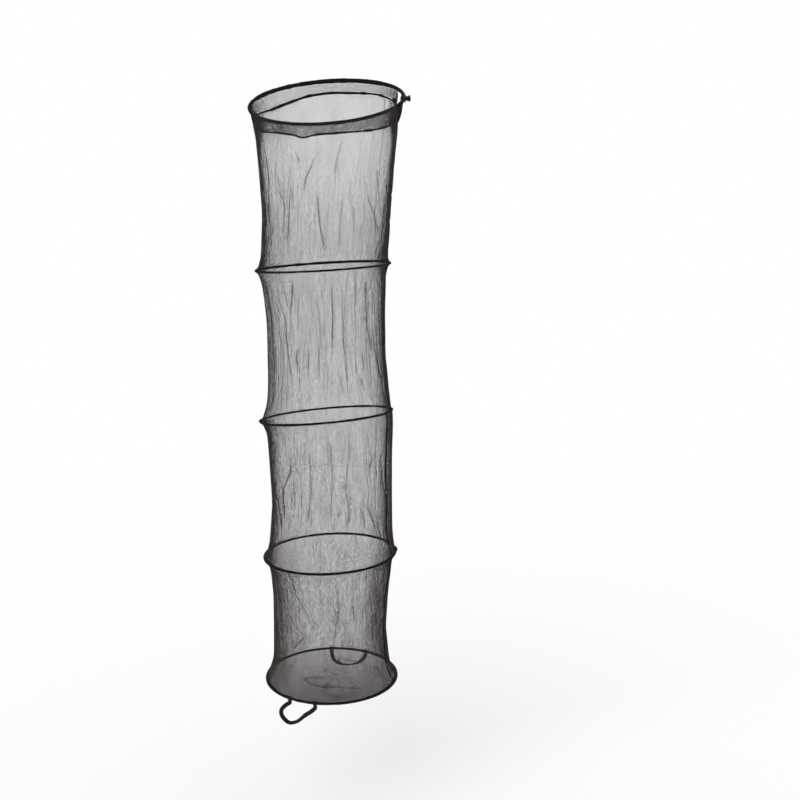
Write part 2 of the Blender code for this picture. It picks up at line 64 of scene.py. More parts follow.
def add(tree, kind, inputs=None, **settings):
    """Adds a node with its settings, and gives each named or numbered input its value or link."""
    made = tree.nodes.new("ShaderNode" + kind)
    for name, value in settings.items():
        setattr(made, name, value)
    for name, value in (inputs or {}).items():
        if isinstance(value, bpy.types.NodeSocket):
            tree.links.new(value, made.inputs[name])
        else:
            made.inputs[name].default_value = value
    return made


bpy.ops.object.camera_add(
    location=(-0.28257, -2.734, -0.74836), rotation=(math.radians(84.57), 0, math.radians(-5.17)),
)
camera = bpy.context.object
camera.data.lens = 36
camera.data.sensor_width = 36
camera.data.clip_end = 200
bpy.context.scene.camera = camera
bpy.context.scene.view_settings.view_transform = "Standard"

bpy.ops.object.light_add(type="SUN", rotation=(math.radians(48), 0, math.radians(-38)))
lamp = bpy.context.object
lamp.data.energy = 1.1
lamp.data.angle = math.radians(50)

white = (1, 1, 1, 1)
world = bpy.data.worlds.new("white studio")
bpy.context.scene.world = world
world.use_nodes = True
tree = world.node_tree
tree.nodes.clear()
path = add(tree, "LightPath")
straight = add(tree, "Math", {0: path.outputs["Is Camera Ray"], 1: path.outputs["Is Glossy Ray"]},
               operation="MAXIMUM")
straight = add(tree, "Math", {0: straight.outputs[0], 1: path.outputs["Is Transmission Ray"]},
               operation="MAXIMUM")
seen = add(tree, "Background", {"Color": white, "Strength": 1.0})
lit = add(tree, "Background", {"Color": white, "Strength": 0.78})
mixed = add(tree, "MixShader", {0: straight.outputs[0], 1: lit.outputs[0], 2: seen.outputs[0]})
add(tree, "OutputWorld", {"Surface": mixed.outputs[0]})

floor_height = -2.45
floor_glow = 0.145
bpy.ops.mesh.primitive_plane_add(size=80, location=(0, 0, floor_height))
floor = bpy.context.object
floor.name = "studio_floor"
floor_paper = bpy.data.materials.new("white background paper")
floor_paper.use_nodes = True
tree = floor_paper.node_tree
tree.nodes.clear()
path = add(tree, "LightPath")
straight = add(tree, "Math", {0: path.outputs["Is Camera Ray"], 1: path.outputs["Is Glossy Ray"]},
               operation="MAXIMUM")
glow = add(tree, "Math", {0: straight.outputs[0], 1: floor_glow}, operation="MULTIPLY")
paper = add(tree, "BsdfDiffuse", {"Color": linear("#ececec")})
glow = add(tree, "Emission", {"Color": white, "Strength": glow.outputs[0]})
both = add(tree, "AddShader", {0: paper.outputs[0], 1: glow.outputs[0]})
# It fades out from 3 to 9 m away, so that no edge of it shows through the net
where = add(tree, "TexCoord")
away = add(tree, "VectorMath", {0: where.outputs["Object"]}, operation="LENGTH")
faded = add(tree, "MapRange", {"Value": away.outputs["Value"], "From Min": 3.0, "From Max": 9.0},
            interpolation_type="SMOOTHSTEP")
gone = add(tree, "BsdfTransparent")
both = add(tree, "MixShader", {0: faded.outputs[0], 1: both.outputs[0], 2: gone.outputs[0]})
add(tree, "OutputMaterial", {"Surface": both.outputs[0]})
floor.data.materials.append(floor_paper)


# Mouth ring: 8 mm steel rod bent to a hoop, its two ends held in the connector at the right. It is
# dipped in black PVC, which leaves a soft gloss and a faintly uneven skin.

mouth_radius = 0.254
mouth_rod_radius = 0.004
mouth_reach = 0.278
rod_end_off = 0.004
rod_end_angle = rod_end_off / mouth_radius
mouth_tilt = math.radians(5.4)
mouth = Matrix.LocRotScale(
    Vector((-mouth_reach * math.cos(mouth_tilt), 0, -mouth_reach * math.sin(mouth_tilt))),
    Euler((0, -mouth_tilt, 0)), None,
)


def settle(thing, place):
    """Sets a piece that was made round the world's origin in its place, with the place in its mesh."""
    thing.matrix_world = place
    bpy.ops.object.select_all(action="DESELECT")
    thing.select_set(True)
    bpy.context.view_layer.objects.active = thing
    bpy.ops.object.transform_apply(location=True, rotation=True, scale=True)


def start_material(name, constants):
    """A material with its shader's constants set: itself, its tree, its shader, its coordinates."""
    material = bpy.data.materials.new(name)
    material.use_nodes = True
    tree = material.node_tree
    shader = tree.nodes["Principled BSDF"]
    for title, value in constants.items():
        shader.inputs[title].default_value = value
    return material, tree, shader, add(tree, "TexCoord")


def patches(tree, where, size, detail, low, high):
    """A pattern of soft patches of a size in metres, as shares from 0 to 1."""
    noise = add(tree, "TexNoise", {"Vector": where.outputs["Object"], "Scale": 1 / size, "Detail": detail})
    tone = add(tree, "MapRange", {"Value": noise.outputs["Fac"], "From Min": low, "From Max": high})
    return tone.outputs[0]


def coat(tree, shader, shares, tones, heights, strength, distance):
    """Colours a shader between two tones by one pattern, and raises its surface by another."""
    dark, light = (linear(tone) for tone in tones)
    colour = add(tree, "Mix", {"Factor": shares, 6: dark, 7: light}, data_type="RGBA")
    tree.links.new(colour.outputs[2], shader.inputs["Base Color"])
    bump = add(tree, "Bump", {"Height": heights, "Strength": strength, "Distance": distance})
    tree.links.new(bump.outputs[0], shader.inputs["Normal"])


def dress(piece, material, node=None):
    """Gives a piece its material and its slot, and hides the solid it replaces."""
    piece.data.materials.append(material)
    if node:
        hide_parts(node)


dipped_steel, tree, shader, where = start_material(
    "PVC-dipped steel rod, black", {"Roughness": 0.32, "Specular IOR Level": 0.35},
)
skin = add(tree, "TexNoise", {"Vector": where.outputs["Object"], "Scale": 1 / 0.0012, "Detail": 2.0})
coat(tree, shader, patches(tree, where, 0.018, 4.0, 0.35, 0.65), ("#080809", "#111113"),
     skin.outputs["Fac"], 0.25, 0.0002)

bpy.ops.mesh.primitive_circle_add(
    vertices=16, radius=mouth_rod_radius, fill_type="NGON",
    location=(mouth_radius * math.cos(rod_end_angle), mouth_radius * math.sin(rod_end_angle), 0),
    rotation=(math.radians(90), 0, rod_end_angle),
)
mouth_rod = bpy.context.object
mouth_rod.name = "mouth_rod"
bpy.ops.object.transform_apply(location=True, rotation=True, scale=True)
bpy.ops.object.mode_set(mode="EDIT")
bpy.ops.mesh.select_all(action="SELECT")
bpy.ops.mesh.spin(
    steps=200, angle=math.tau - 2 * rod_end_angle, center=(0, 0, 0), axis=(0, 0, 1), dupli=False,
)
bpy.ops.mesh.select_all(action="SELECT")
bpy.ops.mesh.remove_doubles(threshold=0.00001)
bpy.ops.mesh.normals_make_consistent(inside=False)
bpy.ops.object.mode_set(mode="OBJECT")
bpy.ops.object.shade_smooth_by_angle(angle=math.radians(50))
settle(mouth_rod, mouth)
dress(mouth_rod, dipped_steel, "mouth_ring")
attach(mouth_rod, "mouth")


# Mouth sleeve: a strip of woven nylon folded round the rod and sewn along its underside, where the
# mesh goes in. It stops short of the connector on both sides, and its cloth puckers at each stitch.

sleeve_wall = 0.0011
sleeve_radius = 0.0061
rod_parts = 40
bare_parts = 3
sleeve_start = rod_end_angle + bare_parts * (math.tau - 2 * rod_end_angle) / rod_parts
sleeve_steps = 560


def quad_piece(name, points, faces, uv, caps=np.zeros((0, 3), int), cap_uv=np.zeros((0, 3, 2))):
    """A mesh of quads, and of three-cornered caps, from arrays of points, corners and their UVs."""
    mesh = bpy.data.meshes.new(name)
    mesh.vertices.add(len(points))
    mesh.vertices.foreach_set("co", np.asarray(points, np.float32).ravel())
    corners = np.concatenate((faces.ravel(), caps.ravel()))
    mesh.loops.add(len(corners))
    mesh.loops.foreach_set("vertex_index", corners.astype(np.int32))
    starts = np.concatenate((np.arange(0, faces.size, 4), faces.size + np.arange(0, caps.size, 3)))
    mesh.polygons.add(len(starts))
    mesh.polygons.foreach_set("loop_start", starts.astype(np.int32))
    mesh.uv_layers.new(name="UVMap")
    spots = np.concatenate((np.ravel(uv), np.ravel(cap_uv)))
    mesh.uv_layers[0].data.foreach_set("uv", spots.astype(np.float32))
    mesh.update(calc_edges=True)
    mesh.validate()
    mesh.shade_smooth()
    piece = bpy.data.objects.new(name, mesh)
    bpy.context.scene.collection.objects.link(piece)
    return piece


def grid_piece(name, rings, closed=False):
    """A skin through closed rings, rings × corners × 3. Its ends are capped, or meet if it is closed."""
    count, corners = rings.shape[:2]
    steps = count if closed else count - 1
    step, side = np.indices((steps, corners)).reshape(2, -1)
    after, beside = (step + 1) % count, (side + 1) % corners
    faces = np.stack((
        step * corners + side, after * corners + side, after * corners + beside, step * corners + beside,
    ), axis=1)
    uv = np.stack((
        np.stack((step, side), 1), np.stack((step + 1, side), 1),
        np.stack((step + 1, side + 1), 1), np.stack((step, side + 1), 1),
    ), axis=1) / (steps, corners)
    piece = quad_piece(name, rings.reshape(-1, 3), faces, uv)
    shape = bmesh.new()
    shape.from_mesh(piece.data)
    if not closed:
        bmesh.ops.holes_fill(shape, edges=shape.edges, sides=0)
    if shape.calc_volume(signed=True) < 0:
        bmesh.ops.reverse_faces(shape, faces=shape.faces)
    shape.to_mesh(piece.data)
    shape.free()
    return piece


def moved(place, points):
    """An array of points taken from a hoop's own frame to the world."""
    return points @ np.array(place.to_3x3()).T + np.array(place.translation)


def round_hoop(place, radius, angle, out, up):
    """Points at an angle round a hoop, out from its rod's middle and up from it."""
    reach, angle, up = np.broadcast_arrays(radius + out, angle, up)
    return moved(place, np.stack((reach * np.cos(angle), reach * np.sin(angle), up), axis=-1))


def smooth_noise(rng, rows, columns):
    """A function of share and angle: even noise with soft hills, closed round the tube."""
    heights = rng.normal(size=(rows + 2, columns))

    def noise(share, angle):
        share, angle = np.broadcast_arrays(share, angle)
        y = np.clip(share, 0, 1) * rows
        x = (angle / math.tau % 1) * columns
        row, column = np.floor(y).astype(int), np.floor(x).astype(int)
        v, u = y - row, x - column
        v, u = v * v * (3 - 2 * v), u * u * (3 - 2 * u)
        left, right = column % columns, (column + 1) % columns
        low = heights[row, left] * (1 - u) + heights[row, right] * u
        high = heights[row + 1, left] * (1 - u) + heights[row + 1, right] * u
        return low * (1 - v) + high * v

    return noise


# Plain-woven nylon, dull and black, greyer where it is rubbed
casing_cloth, tree, shader, where = start_material(
    "woven nylon casing cloth, black", {"Roughness": 0.85, "Specular IOR Level": 0.12},
)
# Threads lie 0.7 mm apart along the strip and round it: 1.4 m by 24 mm of cloth
threads = add(tree, "Mapping", {"Vector": where.outputs["UV"], "Scale": (1.4 / 0.0007, 0.024 / 0.0007, 1)})
warp = add(tree, "TexWave", {"Vector": threads.outputs[0], "Scale": 1 / 6.2832}, bands_direction="X")
weft = add(tree, "TexWave", {"Vector": threads.outputs[0], "Scale": 1 / 6.2832}, bands_direction="Y")
weave = add(tree, "Math", {0: warp.outputs["Fac"], 1: weft.outputs["Fac"]}, operation="MULTIPLY")
coat(tree, shader, patches(tree, where, 0.030, 5.0, 0.3, 0.7), ("#0b090a", "#161214"),
     weave.outputs[0], 0.6, 0.0002)


def folded_section(outer, wall, lip_length, seam_at):
    """A strip folded round a rod, with both edges brought together as a lip, as (out, up)."""
    half_lip = wall * 0.9
    half_gap = 0.00015
    inner = outer - wall
    lip, gap = math.asin(half_lip / outer), math.asin(half_gap / inner)
    outside = np.linspace(lip, math.tau - lip, 15) + seam_at
    inside = np.linspace(math.tau - gap, gap, 11) + seam_at
    along = np.array((math.cos(seam_at), math.sin(seam_at)))
    side = np.array((-along[1], along[0]))
    tip = along * (outer + lip_length)
    return np.concatenate((
        [tip + side * half_lip * 0.8], np.stack((np.cos(outside), np.sin(outside)), 1) * outer,
        [tip - side * half_lip * 0.8, tip - side * half_gap],
        np.stack((np.cos(inside), np.sin(inside)), 1) * inner, [tip + side * half_gap],
    ))


def casing_rings(place, radius, angle, section, middle, seed, pucker=0.00028):
    """The folded section carried round a hoop. It swells and draws in as it was sewn."""
    rng = np.random.default_rng(seed)
    fine, slow = smooth_noise(rng, 1, 210), smooth_noise(rng, 1, 60)
    swell = fine(0, angle) * pucker + slow(0, angle) * pucker * 0.7
    swell = np.clip(swell, -0.0006, 0.0006)[:, None] / middle
    grown = section[None] * (1 + swell * (np.hypot(section[:, 0], section[:, 1]) > middle))[..., None]
    return round_hoop(place, radius, angle[:, None], grown[..., 0], grown[..., 1])


sleeve_turn = np.linspace(sleeve_start, math.tau - sleeve_start, sleeve_steps + 1)
sleeve_section = folded_section(sleeve_radius, sleeve_wall, 0.0, math.radians(-96))
mouth_sleeve = grid_piece("mouth_sleeve_cloth", casing_rings(
    mouth, mouth_radius, sleeve_turn, sleeve_section, sleeve_radius - sleeve_wall / 2, 3,
))
dress(mouth_sleeve, casing_cloth, "mouth_sleeve")
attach(mouth_sleeve, "mouth")


# Rod-end tubes: polyolefin tube shrunk over the bare rod on both sides of the connector, which keeps
# the edges of the dip from lifting. Shrinking leaves it smooth, with faint rings where it drew in.

tube_radius = 0.0059
clearance = 0.0001
shrink_tube, tree, shader, where = start_material(
    "polyolefin shrink tube, black", {"Roughness": 0.65, "Specular IOR Level": 0.1},
)
# The rings lie about 3 mm apart on 92 mm of tube
drawn = add(tree, "Mapping", {"Vector": where.outputs["UV"], "Scale": (0.092 / 0.003, 0, 1)})
drawn = add(tree, "TexNoise", {"Vector": drawn.outputs[0], "Scale": 1.0, "Detail": 2.0})
coat(tree, shader, patches(tree, where, 0.006, 4.0, 0, 1), ("#080808", "#151415"),
     drawn.outputs["Fac"], 0.4, 0.0004)

tube_section = folded_section(tube_radius, tube_radius - mouth_rod_radius - clearance, 0.0, math.pi)
for number, side in enumerate((-1, 1), 1):
    tube_turn = side * np.linspace(math.radians(4.5), sleeve_start - math.radians(0.3), 60)
    tube = grid_piece(f"rod_end_tube_{number}", casing_rings(
        mouth, mouth_radius, tube_turn, tube_section, 0.0048, 8 + number, 0.0002,
    ))
    dress(tube, shrink_tube)
    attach(tube, "mouth")


# Mouth collar: a double band of the same mesh under the mouth ring, which stiffens the opening.
# Both layers are diamond netting of twisted polyester yarn, sewn in the sleeve and in the hem.

# From crossing to crossing, and from yarn to yarn. The real openings are 2 to 3 mm wide in thread of
# 0.3 to 0.4 mm, too fine for the render and for the limit on triangles. So the yarns are drawn
# further apart and heavier, so that each part of the net lets as much light through.
opening_across = 0.0044
opening_down = 0.0054
knot_slack = 0.16
collar_drop = 0.041
collar_top = 0.0060
collar_rows = 7
collar_round = 1.55
collar_layers_apart = 0.0018
collar_yarn = 0.0007
net_inset = 0.0012
drawn_in_at_connector = 0.021
collar_narrowing = 0.010
hem_depth_shares = (
    (10, 1.37), (48, 1.17), (73, 0.89), (98, 0.83), (107, 1.0), (113, 1.2), (121, 0.9), (138, 0.88),
    (160, 1.17), (180, 1.05), (197, 0.83), (224, 1.07), (241, 0.94), (254, 0.75), (271, 0.68),
    (286, 0.73), (308, 0.68), (324, 0.80), (350, 1.25),
)


def mouth_net_radius(angle, depth):
    """Radius of the mesh under the mouth ring, drawn in where the sleeve is interrupted."""
    off = np.abs((angle + math.pi) % math.tau - math.pi)
    drawn = np.maximum(0, 1 - (off / sleeve_start) ** 2)
    return mouth_radius - net_inset - drawn_in_at_connector * drawn - collar_narrowing * depth / collar_drop


def hem_depth(angle):
    """How far under the mouth ring the hem runs, from degrees round the ring and shares of the drop."""
    degrees, shares = np.array(hem_depth_shares).T
    around = [np.interp(np.degrees(angle) + off, degrees, shares, period=360) for off in (-3, -1, 1, 3)]
    return collar_drop * sum(around) / 4


def round_mouth(angle, reach, depth):
    """Points at an angle round the mouth's axis, at a reach from it and a depth under the ring."""
    return round_hoop(mouth, 0, angle, reach, -depth)


def collar_surface(angle, share, out, phase):
    """One layer of the collar, as a function of the angle round it and the share of the way down."""
    depth = collar_top + (hem_depth(angle) - collar_top) * share
    gathers = 0.0006 * np.sin(angle * 96 + 3 * np.sin(angle * 7 + phase)) * (1 - share)
    return round_mouth(angle, mouth_net_radius(angle, depth) + out * collar_layers_apart + gathers, depth)


def knot_grid(surface, rows, columns, rng, bunching=1.0):
    """Crossings of a tube of netting, spaced along the folds of each row and bunched in streaks."""
    share = np.linspace(0, 1, rows + 1)[:, None]
    streaks = smooth_noise(rng, 6, 84), smooth_noise(rng, 11, 190)
    along = np.linspace(0, 1, columns // 2 + 1)[:-1]
    halves = []
    for start in (math.pi, math.tau):
        fine = start + np.linspace(0, math.pi, 1600)[None]
        gaps = np.linalg.norm(np.diff(surface(fine, share), axis=1), axis=2)
        run = np.concatenate((np.zeros((rows + 1, 1)), np.cumsum(gaps, axis=1)), axis=1)
        wide, narrow = (streak(share, start + math.pi * along) for streak in streaks)
        bunched = bunching * (0.0013 * wide + 0.0006 * narrow) * np.minimum(1, 20 * along * (1 - along))
        halves.append(np.stack([
            np.interp(row[-1] * along + off, row, fine[0]) for row, off in zip(run, bunched)
        ]))
    angle = np.concatenate(halves, axis=1)
    knots = surface(angle, share)
    across = (np.roll(knots, -1, axis=1) - np.roll(knots, 1, axis=1)) / 2
    down = np.gradient(knots, axis=0)
    uneven = rng.normal(size=(2, *knots.shape[:2], 1)) * knot_slack
    uneven[:, (0, -1)] *= 0.3
    return knots + across * uneven[0] + down * uneven[1], angle, share


def yarn_net(name, knots, width, kept=True):
    """Knotless netting: two families of slanting three-sided yarns through a grid of crossings."""
    rows, columns = knots.shape[:2]
    row, column = np.indices((rows, columns))
    crossing = np.broadcast_to(kept, (rows, columns))
    place_in = (np.cumsum(crossing) - 1).reshape(rows, columns)
    count = int(crossing.sum())
    across, down = np.gradient(knots, axis=1), np.gradient(knots, axis=0)
    outward = np.cross(across, down)
    outward /= np.linalg.norm(outward, axis=2, keepdims=True)
    half = np.broadcast_to(width, (rows, columns))[crossing][:, None] / 2
    spots = np.stack((column / (columns - 1), 1 - row / (rows - 1)), axis=-1)[crossing]
    spread = np.array(((-0.3, 0), (0, 0.3), (0.3, 0))) / columns
    points, quads, caps = [], [], []
    for family, lean in enumerate((1, -1)):
        along = (down + lean * across)[crossing]
        along /= np.linalg.norm(along, axis=1, keepdims=True)
        out = outward[crossing]
        side = np.cross(out, along)
        # One family lies a little outside the other, as the yarns pass each other
        middle = knots[crossing] + out * half * 0.4 * lean
        for turn in (0, 120, 240):
            turn = math.radians(turn)
            points.append(middle + (out * math.cos(turn) + side * math.sin(turn)) * half * 1.1)
        upper, lower = (np.s_[:-1, :-1], np.s_[1:, 1:]) if lean == 1 else (np.s_[:-1, 1:], np.s_[1:, :-1])
        step = crossing[upper] & crossing[lower]
        first, second = place_in[upper][step], place_in[lower][step]
        layer = (family * 3 + np.arange(3)) * count
        for corner in range(3):
            near, far = layer[corner], layer[(corner + 1) % 3]
            quads.append(np.stack((first + near, first + far, second + far, second + near), axis=1))
        begins, ends = np.setdiff1d(first, second), np.setdiff1d(second, first)
        caps += [begins[:, None] + layer[::-1], ends[:, None] + layer]
    quads, caps = np.concatenate(quads), np.concatenate(caps)
    points = np.stack(points).reshape(6 * count, 3)
    spot_of = (spots[None] + np.tile(spread, (2, 1))[:, None]).reshape(6 * count, 2)
    used, packed = np.unique(np.concatenate((quads.ravel(), caps.ravel())), return_inverse=True)
    packed = packed.ravel()
    return quad_piece(
        name, points[used], packed[:quads.size].reshape(-1, 4), spot_of[quads].clip(0, 1),
        packed[quads.size:].reshape(-1, 3), spot_of[caps].clip(0, 1),
    )


# Twisted polyester yarn, knitted without knots: a dull brown-black, lighter in patches where it is dusty
netting, tree, shader, where = start_material(
    "knitted polyester netting, black", {"Roughness": 0.8, "Specular IOR Level": 0.15},
)
dust = patches(tree, where, 0.040, 5.0, 0.32, 0.68)
# Painted light: the yarn of the lower bays is tinted a little redder and lighter, for light shining through
# it
untinted, painted_warm_light = (
    add(tree, "Mix", {"Factor": dust, 6: linear(dark), 7: linear(light)}, data_type="RGBA").outputs[2]
    for dark, light in (("#2a2425", "#3d3536"), ("#332929", "#473837"))
)
# Painted light: the redder, lighter tint comes in from 0.9 to 1.7 m down
height = add(tree, "SeparateXYZ", {"Vector": where.outputs["Object"]})
painted_light_share = add(tree, "MapRange", {"Value": height.outputs["Z"], "From Min": -0.9, "From Max": -1.7})
colour = add(tree, "Mix", {"Factor": painted_light_share.outputs[0], 6: untinted, 7: painted_warm_light}, data_type="RGBA")
tree.links.new(colour.outputs[2], shader.inputs["Base Color"])
fibres = add(tree, "TexNoise", {"Vector": where.outputs["Object"], "Scale": 1 / 0.0006, "Detail": 3.0})
twist = add(tree, "Bump", {"Height": fibres.outputs["Fac"], "Strength": 0.5, "Distance": 0.0003})
tree.links.new(twist.outputs[0], shader.inputs["Normal"])

for number, (title, out) in enumerate((("outer", 0.5), ("inner", -0.5))):
    knots, turned = knot_grid(
        lambda angle, share: collar_surface(angle, share, out, number), collar_rows,
        2 * round(collar_round / opening_across / 2), np.random.default_rng(20 + number),
    )[:2]
    # It is drawn together beside the connector, and lies slacker at the back
    turned = np.concatenate((turned, turned[:, :1]), axis=1)
    yarn = collar_yarn * (1 + 0.27 * np.sin(turned) + 0.8 * np.maximum(0, np.cos(turned)) ** 8)
    collar = yarn_net(f"mouth_collar_{title}", np.concatenate((knots, knots[:, :1]), axis=1), yarn)
    dress(collar, netting, "mouth_collar")
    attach(collar, "mouth")


# Collar hem: a folded nylon tape that binds the collar's lower edge to the net, pulled into slow
# waves as it was sewn. A row of stitches runs along its middle, inside and out.

hem_top = 0.0006
hem_height = 0.007
hem_thickness = 0.0026
hem_steps = 420
stitch_radius = 0.00032
stitch_sunk = 0.00005

# Ribbed nylon tape, dull and black. Its ribs lie 1 mm apart across a band 1.5 m long
hem_tape, tree, shader, where = start_material(
    "nylon binding tape, black", {"Roughness": 0.8, "Specular IOR Level": 0.12},
)
ribs = add(tree, "Mapping", {"Vector": where.outputs["UV"], "Scale": (1.5 / 0.001, 1, 1)})
ribs = add(tree, "TexWave", {"Vector": ribs.outputs[0], "Scale": 1 / 6.2832, "Distortion": 0.4},
           bands_direction="X")
coat(tree, shader, patches(tree, where, 0.02, 4.0, 0.3, 0.7), ("#090808", "#141112"),
     ribs.outputs["Fac"], 0.5, 0.0002)

# Bonded polyester sewing thread, three plies, a little shinier than the cloth
sewing_thread, tree, shader, where = start_material("bonded polyester thread, black", {
    "Base Color": linear("#1d1a1b"), "Roughness": 0.55, "Specular IOR Level": 0.25,
})
plies = add(tree, "TexNoise", {"Vector": where.outputs["Object"], "Scale": 1 / 0.0003, "Detail": 1.0})
plies = add(tree, "Bump", {"Height": plies.outputs["Fac"], "Strength": 0.4, "Distance": 0.0001})
tree.links.new(plies.outputs[0], shader.inputs["Normal"])


def outward_at(angle):
    """The way out from a tube's axis at an angle."""
    return np.stack((np.cos(angle), np.sin(angle), 0 * angle), axis=-1)


def stitch_arch(rise):
    """How high the thread of a stitch lies above the cloth, from where it comes out to where it goes in."""
    return np.array((-stitch_sunk, rise, rise, -stitch_sunk))


def sew(name, paths, outward, body, radius=stitch_radius):
    """Thread along many short paths, paths × points × 3, as one piece that rides on a body."""
    count, points = paths.shape[:2]
    along = np.gradient(paths, axis=1)
    along /= np.linalg.norm(along, axis=2, keepdims=True)
    side = np.cross(along, outward)
    side /= np.linalg.norm(side, axis=2, keepdims=True)
    out = np.cross(side, along)
    thick = np.full(points, radius)
    thick[[0, -1]] *= 0.4
    corners = []
    for turn in (45, 135, 225, 315):
        turn = math.radians(turn)
        corners.append(paths + (side * math.cos(turn) + out * math.sin(turn)) * thick[None, :, None])
    rings = np.stack(corners, axis=2).reshape(-1, 3)
    stitch, step, corner = np.indices((count, points - 1, 4))
    first = (stitch * points + step) * 4
    beside = (corner + 1) % 4
    walls = np.stack((first + corner, first + beside, first + 4 + beside, first + 4 + corner), -1)
    start = np.arange(count)[:, None] * points * 4
    faces = np.concatenate((
        walls.reshape(-1, 4), start + (3, 2, 1, 0), start + (points - 1) * 4 + np.arange(4),
    ))
    uv = np.tile(((0, 0), (1, 0), (1, 1), (0, 1)), (len(faces), 1, 1))
    piece = quad_piece(name, rings, faces, uv)
    piece.data.materials.append(sewing_thread)
    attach(piece, body)


corner_turn = np.radians(np.arange(12) * 30 + 15)
soft_box_out = np.sign(np.cos(corner_turn)) * np.abs(np.cos(corner_turn)) ** 0.5
soft_box_up = np.sign(np.sin(corner_turn)) * np.abs(np.sin(corner_turn)) ** 0.5
hem_turn = np.linspace(0, math.tau, hem_steps, endpoint=False)
hem_noise = smooth_noise(np.random.default_rng(5), 1, 90)(0, hem_turn)
hem_middle = hem_depth(hem_turn) + hem_top + hem_height / 2
collar_hem = grid_piece("collar_hem_tape", np.stack([
    round_mouth(hem_turn, mouth_net_radius(hem_turn, hem_middle) + out + 0.0003 * hem_noise,
                hem_middle - up * (1.1 + 0.18 * hem_noise))
    for out, up in zip(soft_box_out * hem_thickness / 2, soft_box_up * hem_height / 2)
], axis=1), closed=True)
dress(collar_hem, hem_tape, "collar_hem")
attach(collar_hem, "mouth")

stitch_turn = np.linspace(0, math.tau, 360, endpoint=False)[:, None] + np.linspace(0, 0.0034, 4) / 0.245
for title, side in (("outside", 1), ("inside", -1)):
    depth = hem_depth(stitch_turn) + hem_top + hem_height / 2
    reach = mouth_net_radius(stitch_turn, depth) + side * (hem_thickness / 2 + stitch_arch(0.00022))
    paths = round_mouth(stitch_turn, reach, depth)
    sew(f"hem_stitches_{title}", paths, outward_at(stitch_turn), "mouth")


# Hem end tab: the two ends of the hem tape, folded over each other outside the net at the right and
# sewn down in a block with a box of stitches.

tab_at = math.radians(-33)
tab_size = (0.004, 0.012, 0.016)
tab_off_hem = 0.0023 + 0.0012
tab_box = (0.0045, 0.0062)
tab_stitch = 0.0026
tab_depth = float(hem_depth(tab_at)) + hem_top + hem_height / 2
tab_reach = float(mouth_net_radius(np.array(tab_at), tab_depth)) + hem_thickness / 2 + tab_off_hem
bpy.ops.mesh.primitive_cube_add(size=1, scale=tab_size)
hem_tab = bpy.context.object
hem_tab.name = "hem_end_fold"
bpy.ops.object.transform_apply(location=True, rotation=True, scale=True)
bpy.ops.object.mode_set(mode="EDIT")
bpy.ops.mesh.select_all(action="SELECT")
bpy.ops.mesh.bevel(offset=0.0011, segments=3, affect="EDGES")
bpy.ops.mesh.select_all(action="SELECT")
bpy.ops.uv.cube_project(cube_size=0.016)
bpy.ops.object.mode_set(mode="OBJECT")
bpy.ops.object.shade_smooth_by_angle(angle=math.radians(50))
tab_place = mouth @ Matrix.Rotation(tab_at, 4, "Z") @ Matrix.Translation((tab_reach, 0, -tab_depth))
settle(hem_tab, tab_place)
dress(hem_tab, hem_tape, "hem_end_tab")
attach(hem_tab, "mouth")


def stitched_line(first, second, count):
    """Where the threads of a number of stitches run along a line, stitches × 4 × 2."""
    shares = (np.arange(count)[:, None] + np.linspace(0.12, 0.88, 4)) / count
    return np.array(first) + (np.array(second) - first) * shares[..., None]


box = np.array(((-1, -1), (1, -1), (1, 1), (-1, 1), (-1, -1), (1, 1), (1, -1), (-1, 1)), float) * tab_box
box_spots = np.concatenate([
    stitched_line(first, second, max(2, round(float(np.linalg.norm(second - first)) / tab_stitch)))
    for first, second in zip(box, box[1:])
])
box_height = np.broadcast_to(tab_size[0] / 2 + stitch_arch(0.0002), box_spots.shape[:2])
paths = moved(tab_place, np.concatenate((box_height[..., None], box_spots), axis=-1))
outward = np.array(tab_place.to_3x3() @ Vector((1, 0, 0)))
sew("hem_tab_stitches", paths, np.broadcast_to(outward, paths.shape), "mouth")


# Connector: a glass-filled nylon moulding that clamps the ends of the rod and carries the stud.
# Two zinc-plated cross-head screws go in from above. The flared nut locks the stud in a bank stick.

# The glass leaves the nylon a low sheen and a fine grain
moulded_nylon, tree, shader, where = start_material("glass-filled nylon moulding, black", {
    "Roughness": 0.55, "IOR": 1.53, "Specular IOR Level": 0.15,
})
grain = add(tree, "TexVoronoi", {"Vector": where.outputs["Object"], "Scale": 1 / 0.0007})
coat(tree, shader, patches(tree, where, 0.004, 4.0, 0.35, 0.7), ("#0c0c0d", "#171718"),
     grain.outputs["Distance"], 0.25, 0.00015)

# Turned brass, blackened, worn bright on the crests of a 1.27 mm thread
stud_brass, tree, shader, where = start_material("blackened brass stud", {"Metallic": 1.0})
along = add(tree, "Mapping", {"Vector": where.outputs["Object"], "Rotation": (0, mouth_tilt, 0),
                              "Scale": (1 / 0.00127, 0, 0)})
thread = add(tree, "TexWave", {"Vector": along.outputs[0], "Scale": 1 / 6.2832}, wave_profile="TRI")
worn = add(tree, "TexNoise", {"Vector": where.outputs["Object"], "Scale": 1 / 0.002, "Detail": 3.0})
crest = add(tree, "Math", {0: thread.outputs["Fac"], 1: worn.outputs["Fac"]}, operation="MULTIPLY")
crest = add(tree, "MapRange", {"Value": crest.outputs[0], "From Min": 0.35, "From Max": 0.6})
rough = add(tree, "MapRange", {"Value": crest.outputs[0], "To Min": 0.5, "To Max": 0.28})
tree.links.new(rough.outputs[0], shader.inputs["Roughness"])
coat(tree, shader, crest.outputs[0], ("#2b2824", "#8a7448"), thread.outputs["Fac"], 0.8, 0.0005)

